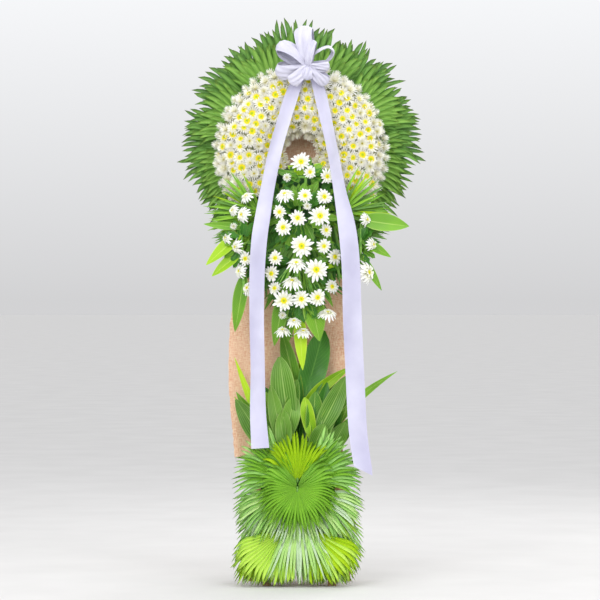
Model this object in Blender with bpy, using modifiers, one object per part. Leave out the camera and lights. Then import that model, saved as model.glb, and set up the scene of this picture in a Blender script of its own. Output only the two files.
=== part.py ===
"""A funeral flower stand: a wreath ring of chrysanthemums on a wooden easel, with sprays, palms and ribbons.

The stand is drawn upright, with depth y running back from the front face of the legs. Every point then moves
back by LEAN times its height, so the stand leans and its feet stay flat on the floor.
"""

import math
import random

import bmesh
import bpy
from mathutils import Matrix, Vector

# Driving dimensions, in metres
LEAN = math.tan(math.radians(4.0))
CLEAR = 0.0003
BLADE = 0.001
WELD = 0.00001

RING_X, RING_Z = 0.005, 1.4025
RING_MID, RING_HALF = 0.165, 0.106
RING_DOME = 0.078
RING_SECTOR = math.radians(45.0)
MUM_R, MUM_PETALS = 0.0235, 5
DAISY_NECK = 0.0022

LEG_TOP, LEG_WIDTH, LEG_THICK = 1.62, 0.034, 0.022
LEG_FOOT_X, LEG_HEAD_X = 0.150, 0.055
RAIL_THICK, RAIL_TALL = 0.018, 0.030
SHELF_Z, SHELF_THICK = 0.100, 0.012
REAR_FOOT_Y, REAR_TOP = 0.420, 1.290

# Depths of the layers, from the legs to the front
RAIL_FRONT = -CLEAR - RAIL_THICK
CLOTH_BACK = RAIL_FRONT - CLEAR
CLOTH_THICK = 0.002
BOARD_BACK = CLOTH_BACK - CLOTH_THICK - CLEAR
BOARD_THICK = 0.006
PIN_PLEAT = 0.0028
PIN_ROOM = 0.0036
BACK_FAN_Y = BOARD_BACK - BOARD_THICK - PIN_ROOM
FRONT_FAN_Y = BACK_FAN_Y - 0.0110
STALK_R, STALK_STATIONS = 0.005, 3
HOLE_EASE = 1.2
FOAM_BACK = FRONT_FAN_Y - PIN_ROOM
FOAM_THICK = 0.030
FOAM_IN, FOAM_OUT = 0.070, 0.235
BLOCK_BACK = FOAM_BACK - FOAM_THICK - CLEAR
BLOCK_FRONT = BLOCK_BACK - 0.050

BLOCK = (-0.090, 0.090, 1.110, 1.270)
BASE_BLOCK = (-0.110, 0.100, SHELF_Z + SHELF_THICK + CLEAR, 0.400)
BASE_BACK, BASE_FRONT = -0.025, -0.150

GREEN = (0.075, 0.24, 0.035)
DEEP_GREEN = (0.025, 0.10, 0.02)
LIME = (0.30, 0.55, 0.03)
SILVER = (0.22, 0.42, 0.13)
WHITE = (0.85, 0.85, 0.78)
FOAM_GREEN = (0.05, 0.16, 0.06)
TIMBER = (0.42, 0.27, 0.14)
JUTE = (0.58, 0.36, 0.19)
SATIN = (0.68, 0.67, 0.86)

sockets = {}


def clear_scene():
    for item in list(bpy.data.objects):
        bpy.data.objects.remove(item, do_unlink=True)
    for mesh in list(bpy.data.meshes):
        bpy.data.meshes.remove(mesh)


def finish_of(name, colour, roughness):
    made = bpy.data.materials.new(name)
    made.use_nodes = True
    shader = made.node_tree.nodes["Principled BSDF"]
    shader.inputs["Base Color"].default_value = (*colour, 1.0)
    shader.inputs["Roughness"].default_value = roughness
    return made


def part(name, mesh, colour, roughness=0.6):
    """An object in the stand's collection, with its own material."""
    made = bpy.data.objects.new(name, mesh)
    mesh.materials.clear()
    mesh.materials.append(finish_of(name, colour, roughness))
    stand.objects.link(made)
    return made


def mesh_of(points, faces, name="shape"):
    mesh = bpy.data.meshes.new(name)
    mesh.from_pydata([tuple(p) for p in points], [], faces)
    mesh.update()
    return mesh


def loose(mesh, place=None):
    """An object that a union or a cut uses up."""
    made = bpy.data.objects.new("piece", mesh)
    workshop.objects.link(made)
    if place is not None:
        made.matrix_world = place
    return made


def evaluated(item):
    bpy.context.view_layer.update()
    graph = bpy.context.evaluated_depsgraph_get()
    mesh = bpy.data.meshes.new_from_object(item.evaluated_get(graph))
    mesh.transform(item.matrix_world)
    return mesh


def discard(item):
    bpy.data.objects.remove(item, do_unlink=True)


def boolean(base, others, operation, solver="EXACT"):
    """The mesh of base joined with, or cut by, the other pieces, which are used up."""
    group = bpy.data.collections.new("group")
    bpy.context.scene.collection.children.link(group)
    for other in others:
        group.objects.link(other)
    step = base.modifiers.new("join", "BOOLEAN")
    step.operation = operation
    step.operand_type = "COLLECTION"
    step.collection = group
    step.solver = solver
    mesh = evaluated(base)
    for other in others:
        discard(other)
    discard(base)
    bpy.data.collections.remove(group)
    return tidy(mesh)


def islands(bm):
    """The sets of points that faces join."""
    left, found = set(bm.verts), []
    while left:
        group, front = set(), [left.pop()]
        while front:
            vert = front.pop()
            group.add(vert)
            for edge in vert.link_edges:
                other = edge.other_vert(vert)
                if other in left:
                    left.discard(other)
                    front.append(other)
        found.append(group)
    return sorted(found, key=len)


def tidy(mesh):
    """Make every face a triangle, and drop the slivers, scraps and sealed hollows that a union leaves."""
    bm = bmesh.new()
    bm.from_mesh(mesh)
    bmesh.ops.remove_doubles(bm, verts=bm.verts, dist=WELD)
    bmesh.ops.dissolve_degenerate(bm, edges=bm.edges, dist=WELD)
    bmesh.ops.triangulate(bm, faces=bm.faces)
    for scrap in islands(bm)[:-1]:
        bmesh.ops.delete(bm, geom=list(scrap), context="VERTS")
    bm.to_mesh(mesh)
    bm.free()
    return mesh


def fused(pieces, solver="EXACT"):
    if len(pieces) == 1:
        mesh = evaluated(pieces[0])
        discard(pieces[0])
        return tidy(mesh)
    return boolean(pieces[0], pieces[1:], "UNION", solver)


def block_mesh(low, high):
    """A box between two corners."""
    bm = bmesh.new()
    bmesh.ops.create_cube(bm, size=1.0)
    size = Vector(high) - Vector(low)
    centre = (Vector(high) + Vector(low)) / 2
    place = Matrix.Translation(centre) @ Matrix.Diagonal((*size, 1.0))
    bmesh.ops.transform(bm, matrix=place, verts=bm.verts)
    mesh = bpy.data.meshes.new("block")
    bm.to_mesh(mesh)
    bm.free()
    return mesh


def slanted_mesh(foot, head, width, thick):
    """A straight timber with level ends, from the middle of its foot to the middle of its head."""
    foot, head = Vector(foot), Vector(head)
    mesh = block_mesh((-width / 2, -thick / 2, 0.0), (width / 2, thick / 2, 1.0))
    shear = Matrix.Identity(4)
    shear.col[2] = (*(head - foot), 0.0)
    mesh.transform(Matrix.Translation(foot) @ shear)
    return mesh


def rod(points, radius, resolution=0):
    """A round stem along some points, made a mesh."""
    curve = bpy.data.curves.new("rod", "CURVE")
    curve.dimensions = "3D"
    curve.bevel_depth = radius
    curve.bevel_resolution = resolution
    curve.use_fill_caps = True
    line = curve.splines.new("POLY")
    line.points.add(len(points) - 1)
    for spot, point in zip(line.points, points):
        spot.co = (*point, 1.0)
    item = bpy.data.objects.new("rod", curve)
    workshop.objects.link(item)
    mesh = evaluated(item)
    discard(item)
    bpy.data.curves.remove(curve)
    bm = bmesh.new()
    bm.from_mesh(mesh)
    bmesh.ops.remove_doubles(bm, verts=bm.verts, dist=WELD)
    bmesh.ops.recalc_face_normals(bm, faces=bm.faces)
    bm.to_mesh(mesh)
    bm.free()
    return loose(mesh)


def drill(mesh, holes):
    """Cut a plain round hole for each stem that stands in a piece."""
    base = loose(mesh)
    cutters = []
    for tip, way, radius, depth in holes:
        start = Vector(tip) + Vector(way) * depth
        stop = Vector(tip) - Vector(way) * 0.03
        cutters.append(rod([start, stop], radius * HOLE_EASE, resolution=1))
    return boolean(base, cutters, "DIFFERENCE")


def socket(owner, entry, way, radius=STALK_R, depth=0.020):
    """Note a stem's hole, and give the stem's end point inside it."""
    way = Vector(way).normalized()
    sockets.setdefault(owner, []).append((Vector(entry), way, radius + 2 * CLEAR, depth + CLEAR))
    return Vector(entry) + way * depth


def sheet(points, faces, thick=BLADE):
    """A thin closed blade: an open surface of triangles, thickened on both sides alike."""
    bm = bmesh.new()
    verts = [bm.verts.new(p) for p in points]
    for face in faces:
        bm.faces.new([verts[i] for i in face])
    bmesh.ops.triangulate(bm, faces=bm.faces)
    mesh = bpy.data.meshes.new("sheet")
    bm.to_mesh(mesh)
    bm.free()
    item = loose(mesh)
    shell = item.modifiers.new("thickness", "SOLIDIFY")
    shell.thickness = thick
    shell.offset = 0.0
    made = evaluated(item)
    discard(item)
    return loose(tidy(made))


def palm_points(hub, heading, spread, fingers, length_of, depth_of, seed, notch=0.58, pleat=0.004):
    """Points and faces of a pleated fan: a hub with three spokes, and a fold and a notch for each finger."""
    draw = random.Random(seed)
    points, faces = [Vector(hub)], []
    for share in (-0.5, 0.0, 0.5):
        turn = heading + spread * share
        spot = Vector(hub) + Vector((math.cos(turn), 0.0, math.sin(turn))) * length_of(turn) * 0.12
        spot.y = hub[1] + depth_of(spot)
        points.append(spot)
    count = 2 * fingers + 1
    for line in range(count):
        turn = heading + spread * (line / (count - 1) - 0.5)
        way = Vector((math.cos(turn), 0.0, math.sin(turn)))
        reach = length_of(turn) * (notch + draw.uniform(-0.03, 0.03))
        lift = pleat if line % 2 else -pleat
        spot = Vector(hub) + way * reach
        spot.y = hub[1] + depth_of(spot) + lift * min(1.0, reach / 0.08)
        points.append(spot)
    tips = []
    for finger in range(fingers):
        turn = heading + spread * ((2 * finger + 1) / (count - 1) - 0.5)
        turn += draw.uniform(-0.12, 0.12) * spread / fingers
        way = Vector((math.cos(turn), 0.0, math.sin(turn)))
        reach = length_of(turn) * draw.uniform(0.93, 1.0)
        spot = Vector(hub) + way * reach
        spot.y = hub[1] + depth_of(spot)
        tips.append(len(points))
        points.append(spot)
    faces += [(0, 1, 2), (0, 2, 3)]
    first_line = 4
    for line in range(count - 1):
        left = first_line + line
        spoke = 1 + round(2 * (line + 0.5) / (count - 1))
        faces.append((spoke, left, left + 1))
        after = 1 + round(2 * (line + 1.5) / (count - 1))
        if after != spoke and line < count - 2:
            faces.append((spoke, left + 1, after))
    for finger in range(fingers):
        left = first_line + 2 * finger
        faces += [(left, tips[finger], left + 1), (left + 1, tips[finger], left + 2)]
    return points, faces


def palm(name, hub, heading, spread, fingers, length_of, depth_of, seed, stem, colour, notch, pleat):
    """A fan palm leaf with its stalk, whose path starts at the hub."""
    points, faces = palm_points(hub, heading, spread, fingers, length_of, depth_of, seed, notch, pleat)
    away = Vector(hub) - Vector((math.cos(heading), 0.0, math.sin(heading))) * 0.004
    root = Vector(hub) + Vector((math.cos(heading), 0.0, math.sin(heading))) * 0.004
    stalk = rod([root, away] + stem, STALK_R * 0.8, resolution=0)
    return part(name, fused([sheet(points, faces), stalk]), colour, 0.45)


def ring_point(turn, radius, depth):
    return Vector((RING_X + radius * math.cos(turn), depth, RING_Z + radius * math.sin(turn)))


def back_palm(name, turn, half, fingers, layer_y, outer, seed, colour):
    """A palm leaf pinned behind the ring, kept in its own wedge so that leaves of a row lie side by side."""
    hub_r = 0.150
    hub = ring_point(turn, hub_r, layer_y)

    def length_of(way):
        # The outermost circle or the wedge's side, whichever comes first
        off = abs(math.atan2(math.sin(way - turn), math.cos(way - turn)))
        circle = -hub_r * math.cos(off) + math.sqrt(outer ** 2 - (hub_r * math.sin(off)) ** 2)
        slope = math.sin(off - half)
        side = hub_r * math.sin(half) / slope if slope > 0.01 else circle
        return min(circle, side)

    def depth_of(spot):
        far = math.hypot(spot.x - RING_X, spot.z - RING_Z)
        return 0.015 * max(0.0, (far - FOAM_OUT - 0.01) / 0.18) ** 2

    spread = 2 * (half + math.radians(38.0))
    points, faces = palm_points(hub, turn, spread, fingers, length_of, depth_of, seed, 0.60, PIN_PLEAT)
    return part(name, fused([sheet(points, faces)]), colour, 0.45)


def facing(centre, normal, spin):
    """A placement that turns a head's front towards a normal."""
    turn = Vector(normal).to_track_quat("Z", "Y").to_matrix().to_4x4()
    return Matrix.Translation(centre) @ turn @ Matrix.Rotation(spin, 4, "Z")


def flower(place, radius, front, petals, cup, disc, root, neck=0.003):
    """A head of pointed petals round a raised middle, with a three-sided stem from its back to its root."""
    points, faces = [], []
    rim = 2 * petals
    for k in range(rim):
        turn = math.pi * k / petals
        reach = radius if k % 2 == 0 else radius * 0.66
        points.append(Vector((reach * math.cos(turn), reach * math.sin(turn), -cup if k % 2 == 0 else 0.0)))
    top = rim
    points.append(Vector((0.0, 0.0, front)))
    if disc:
        first = len(points)
        for k in range(petals):
            turn = math.pi * (2 * k + 1) / petals
            points.append(Vector((disc * math.cos(turn), disc * math.sin(turn), front * 0.75)))
        for k in range(petals):
            a, b, c = 2 * k, 2 * k + 1, (2 * k + 2) % rim
            inner, before = first + k, first + (k - 1) % petals
            faces += [(a, b, inner), (b, c, inner), (a, inner, before), (inner, top, before)]
    else:
        faces += [(k, (k + 1) % rim, top) for k in range(rim)]
    points = [place @ point for point in points]
    low = len(points)
    turns = place.to_3x3()
    heart = place @ Vector((0.0, 0.0, -radius * 0.22))
    along = (Vector(root) - heart).normalized()
    corners = [0, rim // 3, 2 * rim // 3]
    for end in (heart, Vector(root)):
        for k in corners:
            turn = math.pi * k / petals
            arm = turns @ Vector((math.cos(turn), math.sin(turn), 0.0))
            arm = arm - along * arm.dot(along)
            points.append(end + arm.normalized() * neck)
    for k in range(3):
        here, after = low + k, low + (k + 1) % 3
        stop = corners[(k + 1) % 3] or rim
        for j in range(corners[k], stop):
            half = (corners[k] + stop) // 2
            hold = here if j < half else after
            faces.append(((j + 1) % rim, j, hold))
            if j + 1 == half:
                faces.append((half, here, after))
        faces += [(here, here + 3, after + 3), (here, after + 3, after)]
    faces.append((low + 3, low + 5, low + 4))
    return loose(mesh_of(points, faces, "flower"))


def dome(around):
    """Radius and forward rise of the ring's cushion at an angle round its section."""
    rise = RING_DOME * math.sin(around) ** 0.85 if 0 < around < math.pi else 0.0
    return RING_MID + RING_HALF * math.cos(around), 0.012 + rise


def dome_normal(around):
    near, far = dome(max(0.02, around - 0.02)), dome(min(math.pi - 0.02, around + 0.02))
    along = Vector((far[0] - near[0], far[1] - near[1]))
    return Vector((along.y, -along.x)).normalized()


def lathe_sector(profile, start, stop, steps):
    """A closed section carried round the ring's centre from one angle to another, with flat ends."""
    size = len(profile)
    points, faces = [], []
    for step in range(steps + 1):
        turn = start + (stop - start) * step / steps
        points += [ring_point(turn, radius, depth) for radius, depth in profile]
    for step in range(steps):
        for k in range(size):
            after = (k + 1) % size
            a, b = step * size + k, step * size + after
            faces.append((a, b, b + size, a + size))
    faces.append(tuple(range(size))[::-1])
    faces.append(tuple(range(steps * size, steps * size + size)))
    mesh = mesh_of(points, faces, "sector")
    bm = bmesh.new()
    bm.from_mesh(mesh)
    bmesh.ops.triangulate(bm, faces=bm.faces)
    bmesh.ops.recalc_face_normals(bm, faces=bm.faces)
    bm.to_mesh(mesh)
    bm.free()
    return mesh


def ring_profile():
    """The section of the flowers' base: a cushion that fits over the ring of foam."""
    over = BLOCK_BACK - CLEAR
    lip = FOAM_BACK
    outer = RING_MID + RING_HALF
    inner = RING_MID - RING_HALF
    section = [(inner, lip), (FOAM_IN - 0.001, lip), (FOAM_IN - 0.001, over)]
    section += [(FOAM_OUT + 0.001, over), (FOAM_OUT + 0.001, lip), (outer, lip)]
    for k in range(7):
        radius, rise = dome(math.pi * k / 6)
        section.append((radius, FOAM_BACK - rise))
    return section


def mum_rows():
    """Angle round the section and heads in a sector, for each row from the outside in."""
    rows = []
    for around in (0.14, 0.66, 1.12, 1.60, 2.08, 2.74):
        radius, _ = dome(around)
        rows.append((around, max(1, round(radius * RING_SECTOR / 0.050))))
    return rows


def mum_sector(index):
    start = math.radians(-45.0) + index * RING_SECTOR
    gap = 0.006
    core = lathe_sector(ring_profile(), start + gap, start + RING_SECTOR - gap, 3)
    pieces = [loose(core)]
    draw = random.Random(100 + index)
    for around, count in mum_rows():
        radius, rise = dome(around)
        outward = dome_normal(around)
        for k in range(count):
            turn = start + RING_SECTOR * (k + 0.5) / count
            centre = ring_point(turn, radius, FOAM_BACK - rise)
            normal = Vector((outward.x * math.cos(turn), -outward.y, outward.x * math.sin(turn)))
            room = 0.96 * radius * math.sin(RING_SECTOR / count / 2)
            size = min(MUM_R, room)
            place = facing(centre + normal * 0.005, normal, draw.uniform(0, 1.0))
            pieces.append(flower(place, size, 0.007, MUM_PETALS, -0.001, 0.0, centre - normal * 0.006))
    return fused(pieces)


def leaf(base, way, face, length, width, bend, stations, cup=0.2):
    """A broad leaf: a curved midrib, a crease along it and an outline that swells and narrows."""
    way, face = Vector(way).normalized(), Vector(face)
    face = (face - way * face.dot(way)).normalized()
    side = way.cross(face)
    points, faces = [], []
    for k in range(stations + 1):
        share = k / stations
        swell = math.sin(math.pi * min(1.0, 0.06 + 0.94 * share) ** 0.85)
        half = width / 2 * max(0.10 if k == 0 else 0.0, swell ** 0.8)
        mid = Vector(base) + way * length * share - face * length * bend * share ** 2
        if k == stations:
            points.append(mid)
            break
        points += [mid + side * half + face * half * cup, mid, mid - side * half + face * half * cup]
    last = 3 * stations
    for k in range(stations - 1):
        a = 3 * k
        faces += [(a, a + 1, a + 4, a + 3), (a + 1, a + 2, a + 5, a + 4)]
    a = 3 * (stations - 1)
    faces += [(a, a + 1, last), (a + 1, a + 2, last)]
    return sheet(points, faces)


def strip(path, across, widths, thick=BLADE):
    """A ribbon along a path, with its width direction at each point."""
    points, faces = [], []
    for k, spot in enumerate(path):
        half = Vector(across[k]).normalized() * widths[k] / 2
        points += [Vector(spot) - half, Vector(spot) + half]
    for k in range(len(path) - 1):
        a = 2 * k
        faces.append((a, a + 1, a + 3, a + 2))
    return sheet(points, faces, thick)


def blob(centre, radii, seed, rough=0.12, segments=8, rings=5):
    """A lumpy core of massed leaves."""
    draw = random.Random(seed)
    bm = bmesh.new()
    bmesh.ops.create_uvsphere(bm, u_segments=segments, v_segments=rings, radius=1.0)
    for vert in bm.verts:
        vert.co *= 1.0 + draw.uniform(-rough, rough)
    bmesh.ops.triangulate(bm, faces=bm.faces)
    mesh = bpy.data.meshes.new("blob")
    bm.to_mesh(mesh)
    bm.free()
    mesh.transform(Matrix.Translation(centre) @ Matrix.Diagonal((*radii, 1.0)))
    return loose(mesh)


# Where each daisy shows: x, z, depth, radius and how far it is turned down or aside
TOP_DAISIES = [
    (0.005, 1.364, -0.172, 0.030, 0.0, 0.1), (0.034, 1.330, -0.192, 0.021, 0.2, -0.1),
    (0.090, 1.317, -0.167, 0.024, 0.3, -0.1), (-0.040, 1.312, -0.182, 0.014, -0.2, 0.3),
]
MIDDLE_DAISIES = [
    (-0.048, 1.258, -0.215, 0.030, -0.3, 0.5), (0.018, 1.252, -0.225, 0.024, 0.1, 0.2),
    (0.080, 1.250, -0.195, 0.026, 0.3, 0.1), (0.025, 1.218, -0.232, 0.014, 0.0, 0.0),
    (-0.006, 1.180, -0.236, 0.026, 0.0, 0.1), (0.066, 1.187, -0.222, 0.033, 0.1, 0.1),
    (-0.064, 1.200, -0.212, 0.022, -0.3, 0.0), (-0.052, 1.150, -0.222, 0.028, -0.3, 0.1),
    (0.086, 1.142, -0.200, 0.022, 0.5, 0.1),
]
TAIL_DAISIES = [
    (0.007, 1.090, -0.222, 0.035, 0.0, 0.1), (0.079, 1.090, -0.205, 0.023, 0.2, 0.0),
    (0.114, 1.056, -0.180, 0.026, 0.6, 0.1), (-0.010, 1.036, -0.226, 0.030, 0.0, 0.5),
    (-0.078, 1.052, -0.195, 0.024, -0.2, 0.1), (-0.090, 1.002, -0.185, 0.026, -0.4, 0.0),
    (0.054, 1.014, -0.215, 0.036, 0.1, 0.1), (-0.024, 0.978, -0.218, 0.033, 0.0, 0.8),
    (-0.080, 0.955, -0.180, 0.022, -0.3, 0.2), (0.105, 0.960, -0.172, 0.024, 0.5, 0.2),
    (-0.050, 0.915, -0.200, 0.034, -0.1, 0.0), (0.006, 0.920, -0.212, 0.028, 0.1, 0.1),
    (0.058, 0.925, -0.200, 0.028, 0.2, 0.1), (0.092, 0.876, -0.172, 0.030, 0.2, 0.8),
    (-0.054, 0.868, -0.180, 0.013, 0.0, 0.0), (-0.054, 0.820, -0.176, 0.025, -0.1, 0.8),
    (-0.018, 0.850, -0.192, 0.024, 0.0, 0.6), (0.012, 0.816, -0.178, 0.027, 0.1, 0.8),
]
LEFT_DAISIES = [
    (-0.172, 1.236, -0.190, 0.022, -0.2, 0.3), (-0.214, 1.196, -0.186, 0.020, -0.3, 0.1),
    (-0.228, 1.150, -0.190, 0.014, -0.3, 0.0), (-0.241, 1.113, -0.184, 0.020, -0.6, 0.0),
    (-0.200, 1.080, -0.200, 0.025, -0.6, 0.2), (-0.168, 1.036, -0.196, 0.024, -0.3, 0.0),
    (-0.196, 1.000, -0.190, 0.024, -0.8, 0.0), (-0.165, 0.948, -0.186, 0.026, -0.3, 0.3),
    (-0.178, 1.150, -0.206, 0.022, -0.2, 0.1),
]
RIGHT_DAISIES = [
    (0.215, 1.166, -0.190, 0.024, 0.3, 0.1), (0.238, 1.099, -0.186, 0.022, 0.4, 0.0),
    (0.208, 1.010, -0.186, 0.036, 0.9, 0.2),
]


def nearest_on(spine, spot):
    """The point of a bent line that is nearest to a spot."""
    best = None
    for first, second in zip(spine, spine[1:]):
        first, second = Vector(first), Vector(second)
        run = second - first
        share = max(0.0, min(1.0, (spot - first).dot(run) / run.length_squared))
        near = first + run * share
        if best is None or (near - spot).length < (best - spot).length:
            best = near
    return best


def spray(cores, spine, daisies, leaves, stems, seed, solver="EXACT"):
    """A bunch: leafy cores, daisies on stems that branch from its main stem, and its leaves."""
    draw = random.Random(seed)
    pieces = [blob(centre, radii, seed + k) for k, (centre, radii) in enumerate(cores)]
    for x, z, depth, radius, aside, up in daisies:
        head = Vector((x, depth, z))
        place = facing(head, (aside, -1.0, up), draw.uniform(0, 0.6))
        petals = 6 if radius > 0.018 else 5
        root = nearest_on(spine, head + Vector((0.0, 0.0, -0.015)))
        front, cup, disc = radius * 0.22, radius * 0.12, radius * 0.30
        pieces.append(flower(place, radius, front, petals, cup, disc, root, DAISY_NECK))
    for base, way, face, length, width, bend in leaves:
        stations = 4 if width > 0.03 else 3
        pieces.append(leaf(base, way, face, length, width, bend, stations))
    pieces.append(rod(spine, 0.006))
    for points, radius in stems:
        pieces.append(rod(points, radius))
    return fused(pieces, solver)


def filler(centre, radii, count, seed, length, width, low=-1.0, high=1.0):
    """Small leaves that stand out of a core on its front and sides."""
    draw = random.Random(seed)
    made = []
    for k in range(count):
        turn = math.pi * 2 * (k + draw.uniform(0, 0.6)) / count
        tilt = draw.uniform(0.25, 0.95)
        way = Vector((math.cos(turn) * tilt, -math.sqrt(1 - tilt * tilt) * 0.8, math.sin(turn) * tilt))
        if not low <= way.z <= high:
            way.z = -way.z
        base = Vector(centre) + Vector((way.x * radii[0], way.y * radii[1], way.z * radii[2])) * 0.6
        made.append((base, way, Vector((0.1, -1.0, 0.5)), length * draw.uniform(0.8, 1.1), width, 0.15))
    return made


def build_stand():
    """The wooden easel with its rails, shelf and rear leg."""
    for side, sign in (("left", -1), ("right", 1)):
        middle = LEG_THICK / 2
        foot = (sign * LEG_FOOT_X, middle, 0.0)
        head = (sign * LEG_HEAD_X, middle, LEG_TOP)
        part("front_leg_" + side, slanted_mesh(foot, head, LEG_WIDTH, LEG_THICK), TIMBER)
        post_x = sign * 0.105
        post = block_mesh((post_x - 0.014, -0.150, 0.0), (post_x + 0.014, -0.122, SHELF_Z - CLEAR))
        part("short_post_" + side, post, TIMBER)
    rails = {
        "top_rail": (1.560, -0.105, 0.105),
        "ring_rail": (1.240, -0.112, 0.112),
        "cloth_rail_middle": (0.800, -0.200, 0.165),
        "cloth_rail_low": (0.470, -0.185, 0.120),
    }
    for name, (height, low_x, high_x) in rails.items():
        low = (low_x, RAIL_FRONT, height - RAIL_TALL / 2)
        high = (high_x, -CLEAR, height + RAIL_TALL / 2)
        part(name, block_mesh(low, high), TIMBER)
    back = LEG_THICK + CLEAR
    rail_z = REAR_TOP - 0.020
    low = (-0.100, back, rail_z - RAIL_TALL / 2)
    part("back_rail", block_mesh(low, (0.100, back + RAIL_THICK, rail_z + RAIL_TALL / 2)), TIMBER)
    head = (0.0, back + RAIL_THICK + CLEAR + LEG_THICK / 2, REAR_TOP - 0.006)
    part("rear_leg", slanted_mesh((0.0, REAR_FOOT_Y, 0.0), head, LEG_WIDTH, LEG_THICK), TIMBER)
    shelf = block_mesh((-0.160, -0.160, SHELF_Z), (0.160, -CLEAR, SHELF_Z + SHELF_THICK))
    part("shelf", shelf, TIMBER)
    low = (-0.170, back, SHELF_Z - 0.030)
    part("foot_rail", block_mesh(low, (0.170, back + RAIL_THICK, SHELF_Z)), TIMBER)


def build_cloth():
    """The burlap, a sheet with bowed sides whose long edges turn back a little."""
    heights = [0.405, 0.47, 0.56, 0.66, 0.76, 0.86, 0.96, 1.08, 1.24, 1.38, 1.49]
    left = [-0.212, -0.217, -0.226, -0.232, -0.231, -0.225, -0.196, -0.150, -0.130, -0.120, -0.110]
    right = [0.130, 0.140, 0.160, 0.190, 0.198, 0.192, 0.165, 0.150, 0.130, 0.120, 0.110]
    shares = [0.0, 0.04, 0.5, 0.96, 1.0]
    points, faces = [], []
    middle = CLOTH_BACK - CLOTH_THICK / 2
    for row, height in enumerate(heights):
        for share in shares:
            x = left[row] + (right[row] - left[row]) * share
            y = middle + (0.010 if share in (0.0, 1.0) else 0.0)
            points.append((x, y, height))
    wide = len(shares)
    for row in range(len(heights) - 1):
        for k in range(wide - 1):
            a = row * wide + k
            faces.append((a, a + 1, a + wide + 1, a + wide))
    part("burlap", fused([sheet(points, faces, CLOTH_THICK)]), JUTE, 0.95)


def ring_plate(inner, outer, back, thick, steps=24):
    """A flat ring with a square section, turned round the ring's centre."""
    section = [(inner, back), (outer, back), (outer, back - thick), (inner, back - thick)]
    mesh = bpy.data.meshes.new("plate")
    bm = bmesh.new()
    for step in range(steps):
        turn = 2 * math.pi * step / steps
        for radius, depth in section:
            bm.verts.new(ring_point(turn, radius, depth))
    bm.verts.ensure_lookup_table()
    for step in range(steps):
        for k in range(4):
            a, b = step * 4 + k, step * 4 + (k + 1) % 4
            c, d = (b + 4) % (4 * steps), (a + 4) % (4 * steps)
            bm.faces.new([bm.verts[i] for i in (a, b, c, d)])
    bmesh.ops.recalc_face_normals(bm, faces=bm.faces)
    bm.to_mesh(mesh)
    bm.free()
    return mesh


def build_ring():
    part("backing_board", ring_plate(0.062, 0.240, BOARD_BACK, BOARD_THICK), TIMBER)
    part("ring_foam", ring_plate(FOAM_IN, FOAM_OUT, FOAM_BACK, FOAM_THICK), FOAM_GREEN)
    for index in range(6):
        mesh = mum_sector(index)
        owner = "mums_%d" % (index + 1)
        if owner in sockets:
            mesh = drill(mesh, sockets[owner])
        part(owner, mesh, WHITE)


def build_back_palms():
    first, last = -26.0, 214.0
    count = 7
    step = (last - first) / (count - 1)
    half = math.radians(step / 2 - 0.45)
    for k in range(count):
        turn = math.radians(first + step * k)
        outer = 0.425 if k % 2 else 0.412
        back_palm("palm_back_%d" % (k + 1), turn, half, 12, BACK_FAN_Y, outer, 200 + k, DEEP_GREEN)
    for k in range(count - 1):
        turn = math.radians(first + step * (k + 0.5))
        outer = 0.402 if k % 2 else 0.396
        back_palm("palm_ring_%d" % (k + 1), turn, half, 12, FRONT_FAN_Y, outer, 230 + k, GREEN)


def build_side_palms():
    """A narrow-fingered leaf at each lower side of the ring, in front of the flowers."""
    for side, sign in (("left", -1), ("right", 1)):
        hub = (sign * 0.138, -0.163, 1.204)
        heading = math.radians(90 - 66 * sign)
        entry = (sign * 0.090, -0.110, 1.196)
        end = socket("spray_foam", entry, (-sign, 0.0, 0.0), STALK_R * 0.8)
        stem = [Vector((sign * 0.112, -0.126, 1.198)), Vector(entry), end]
        palm("side_palm_" + side, hub, heading, math.radians(104), 10,
             lambda way: 0.150, lambda spot: 0.0, 260 + sign, stem, DEEP_GREEN, 0.35, 0.0012)


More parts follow.
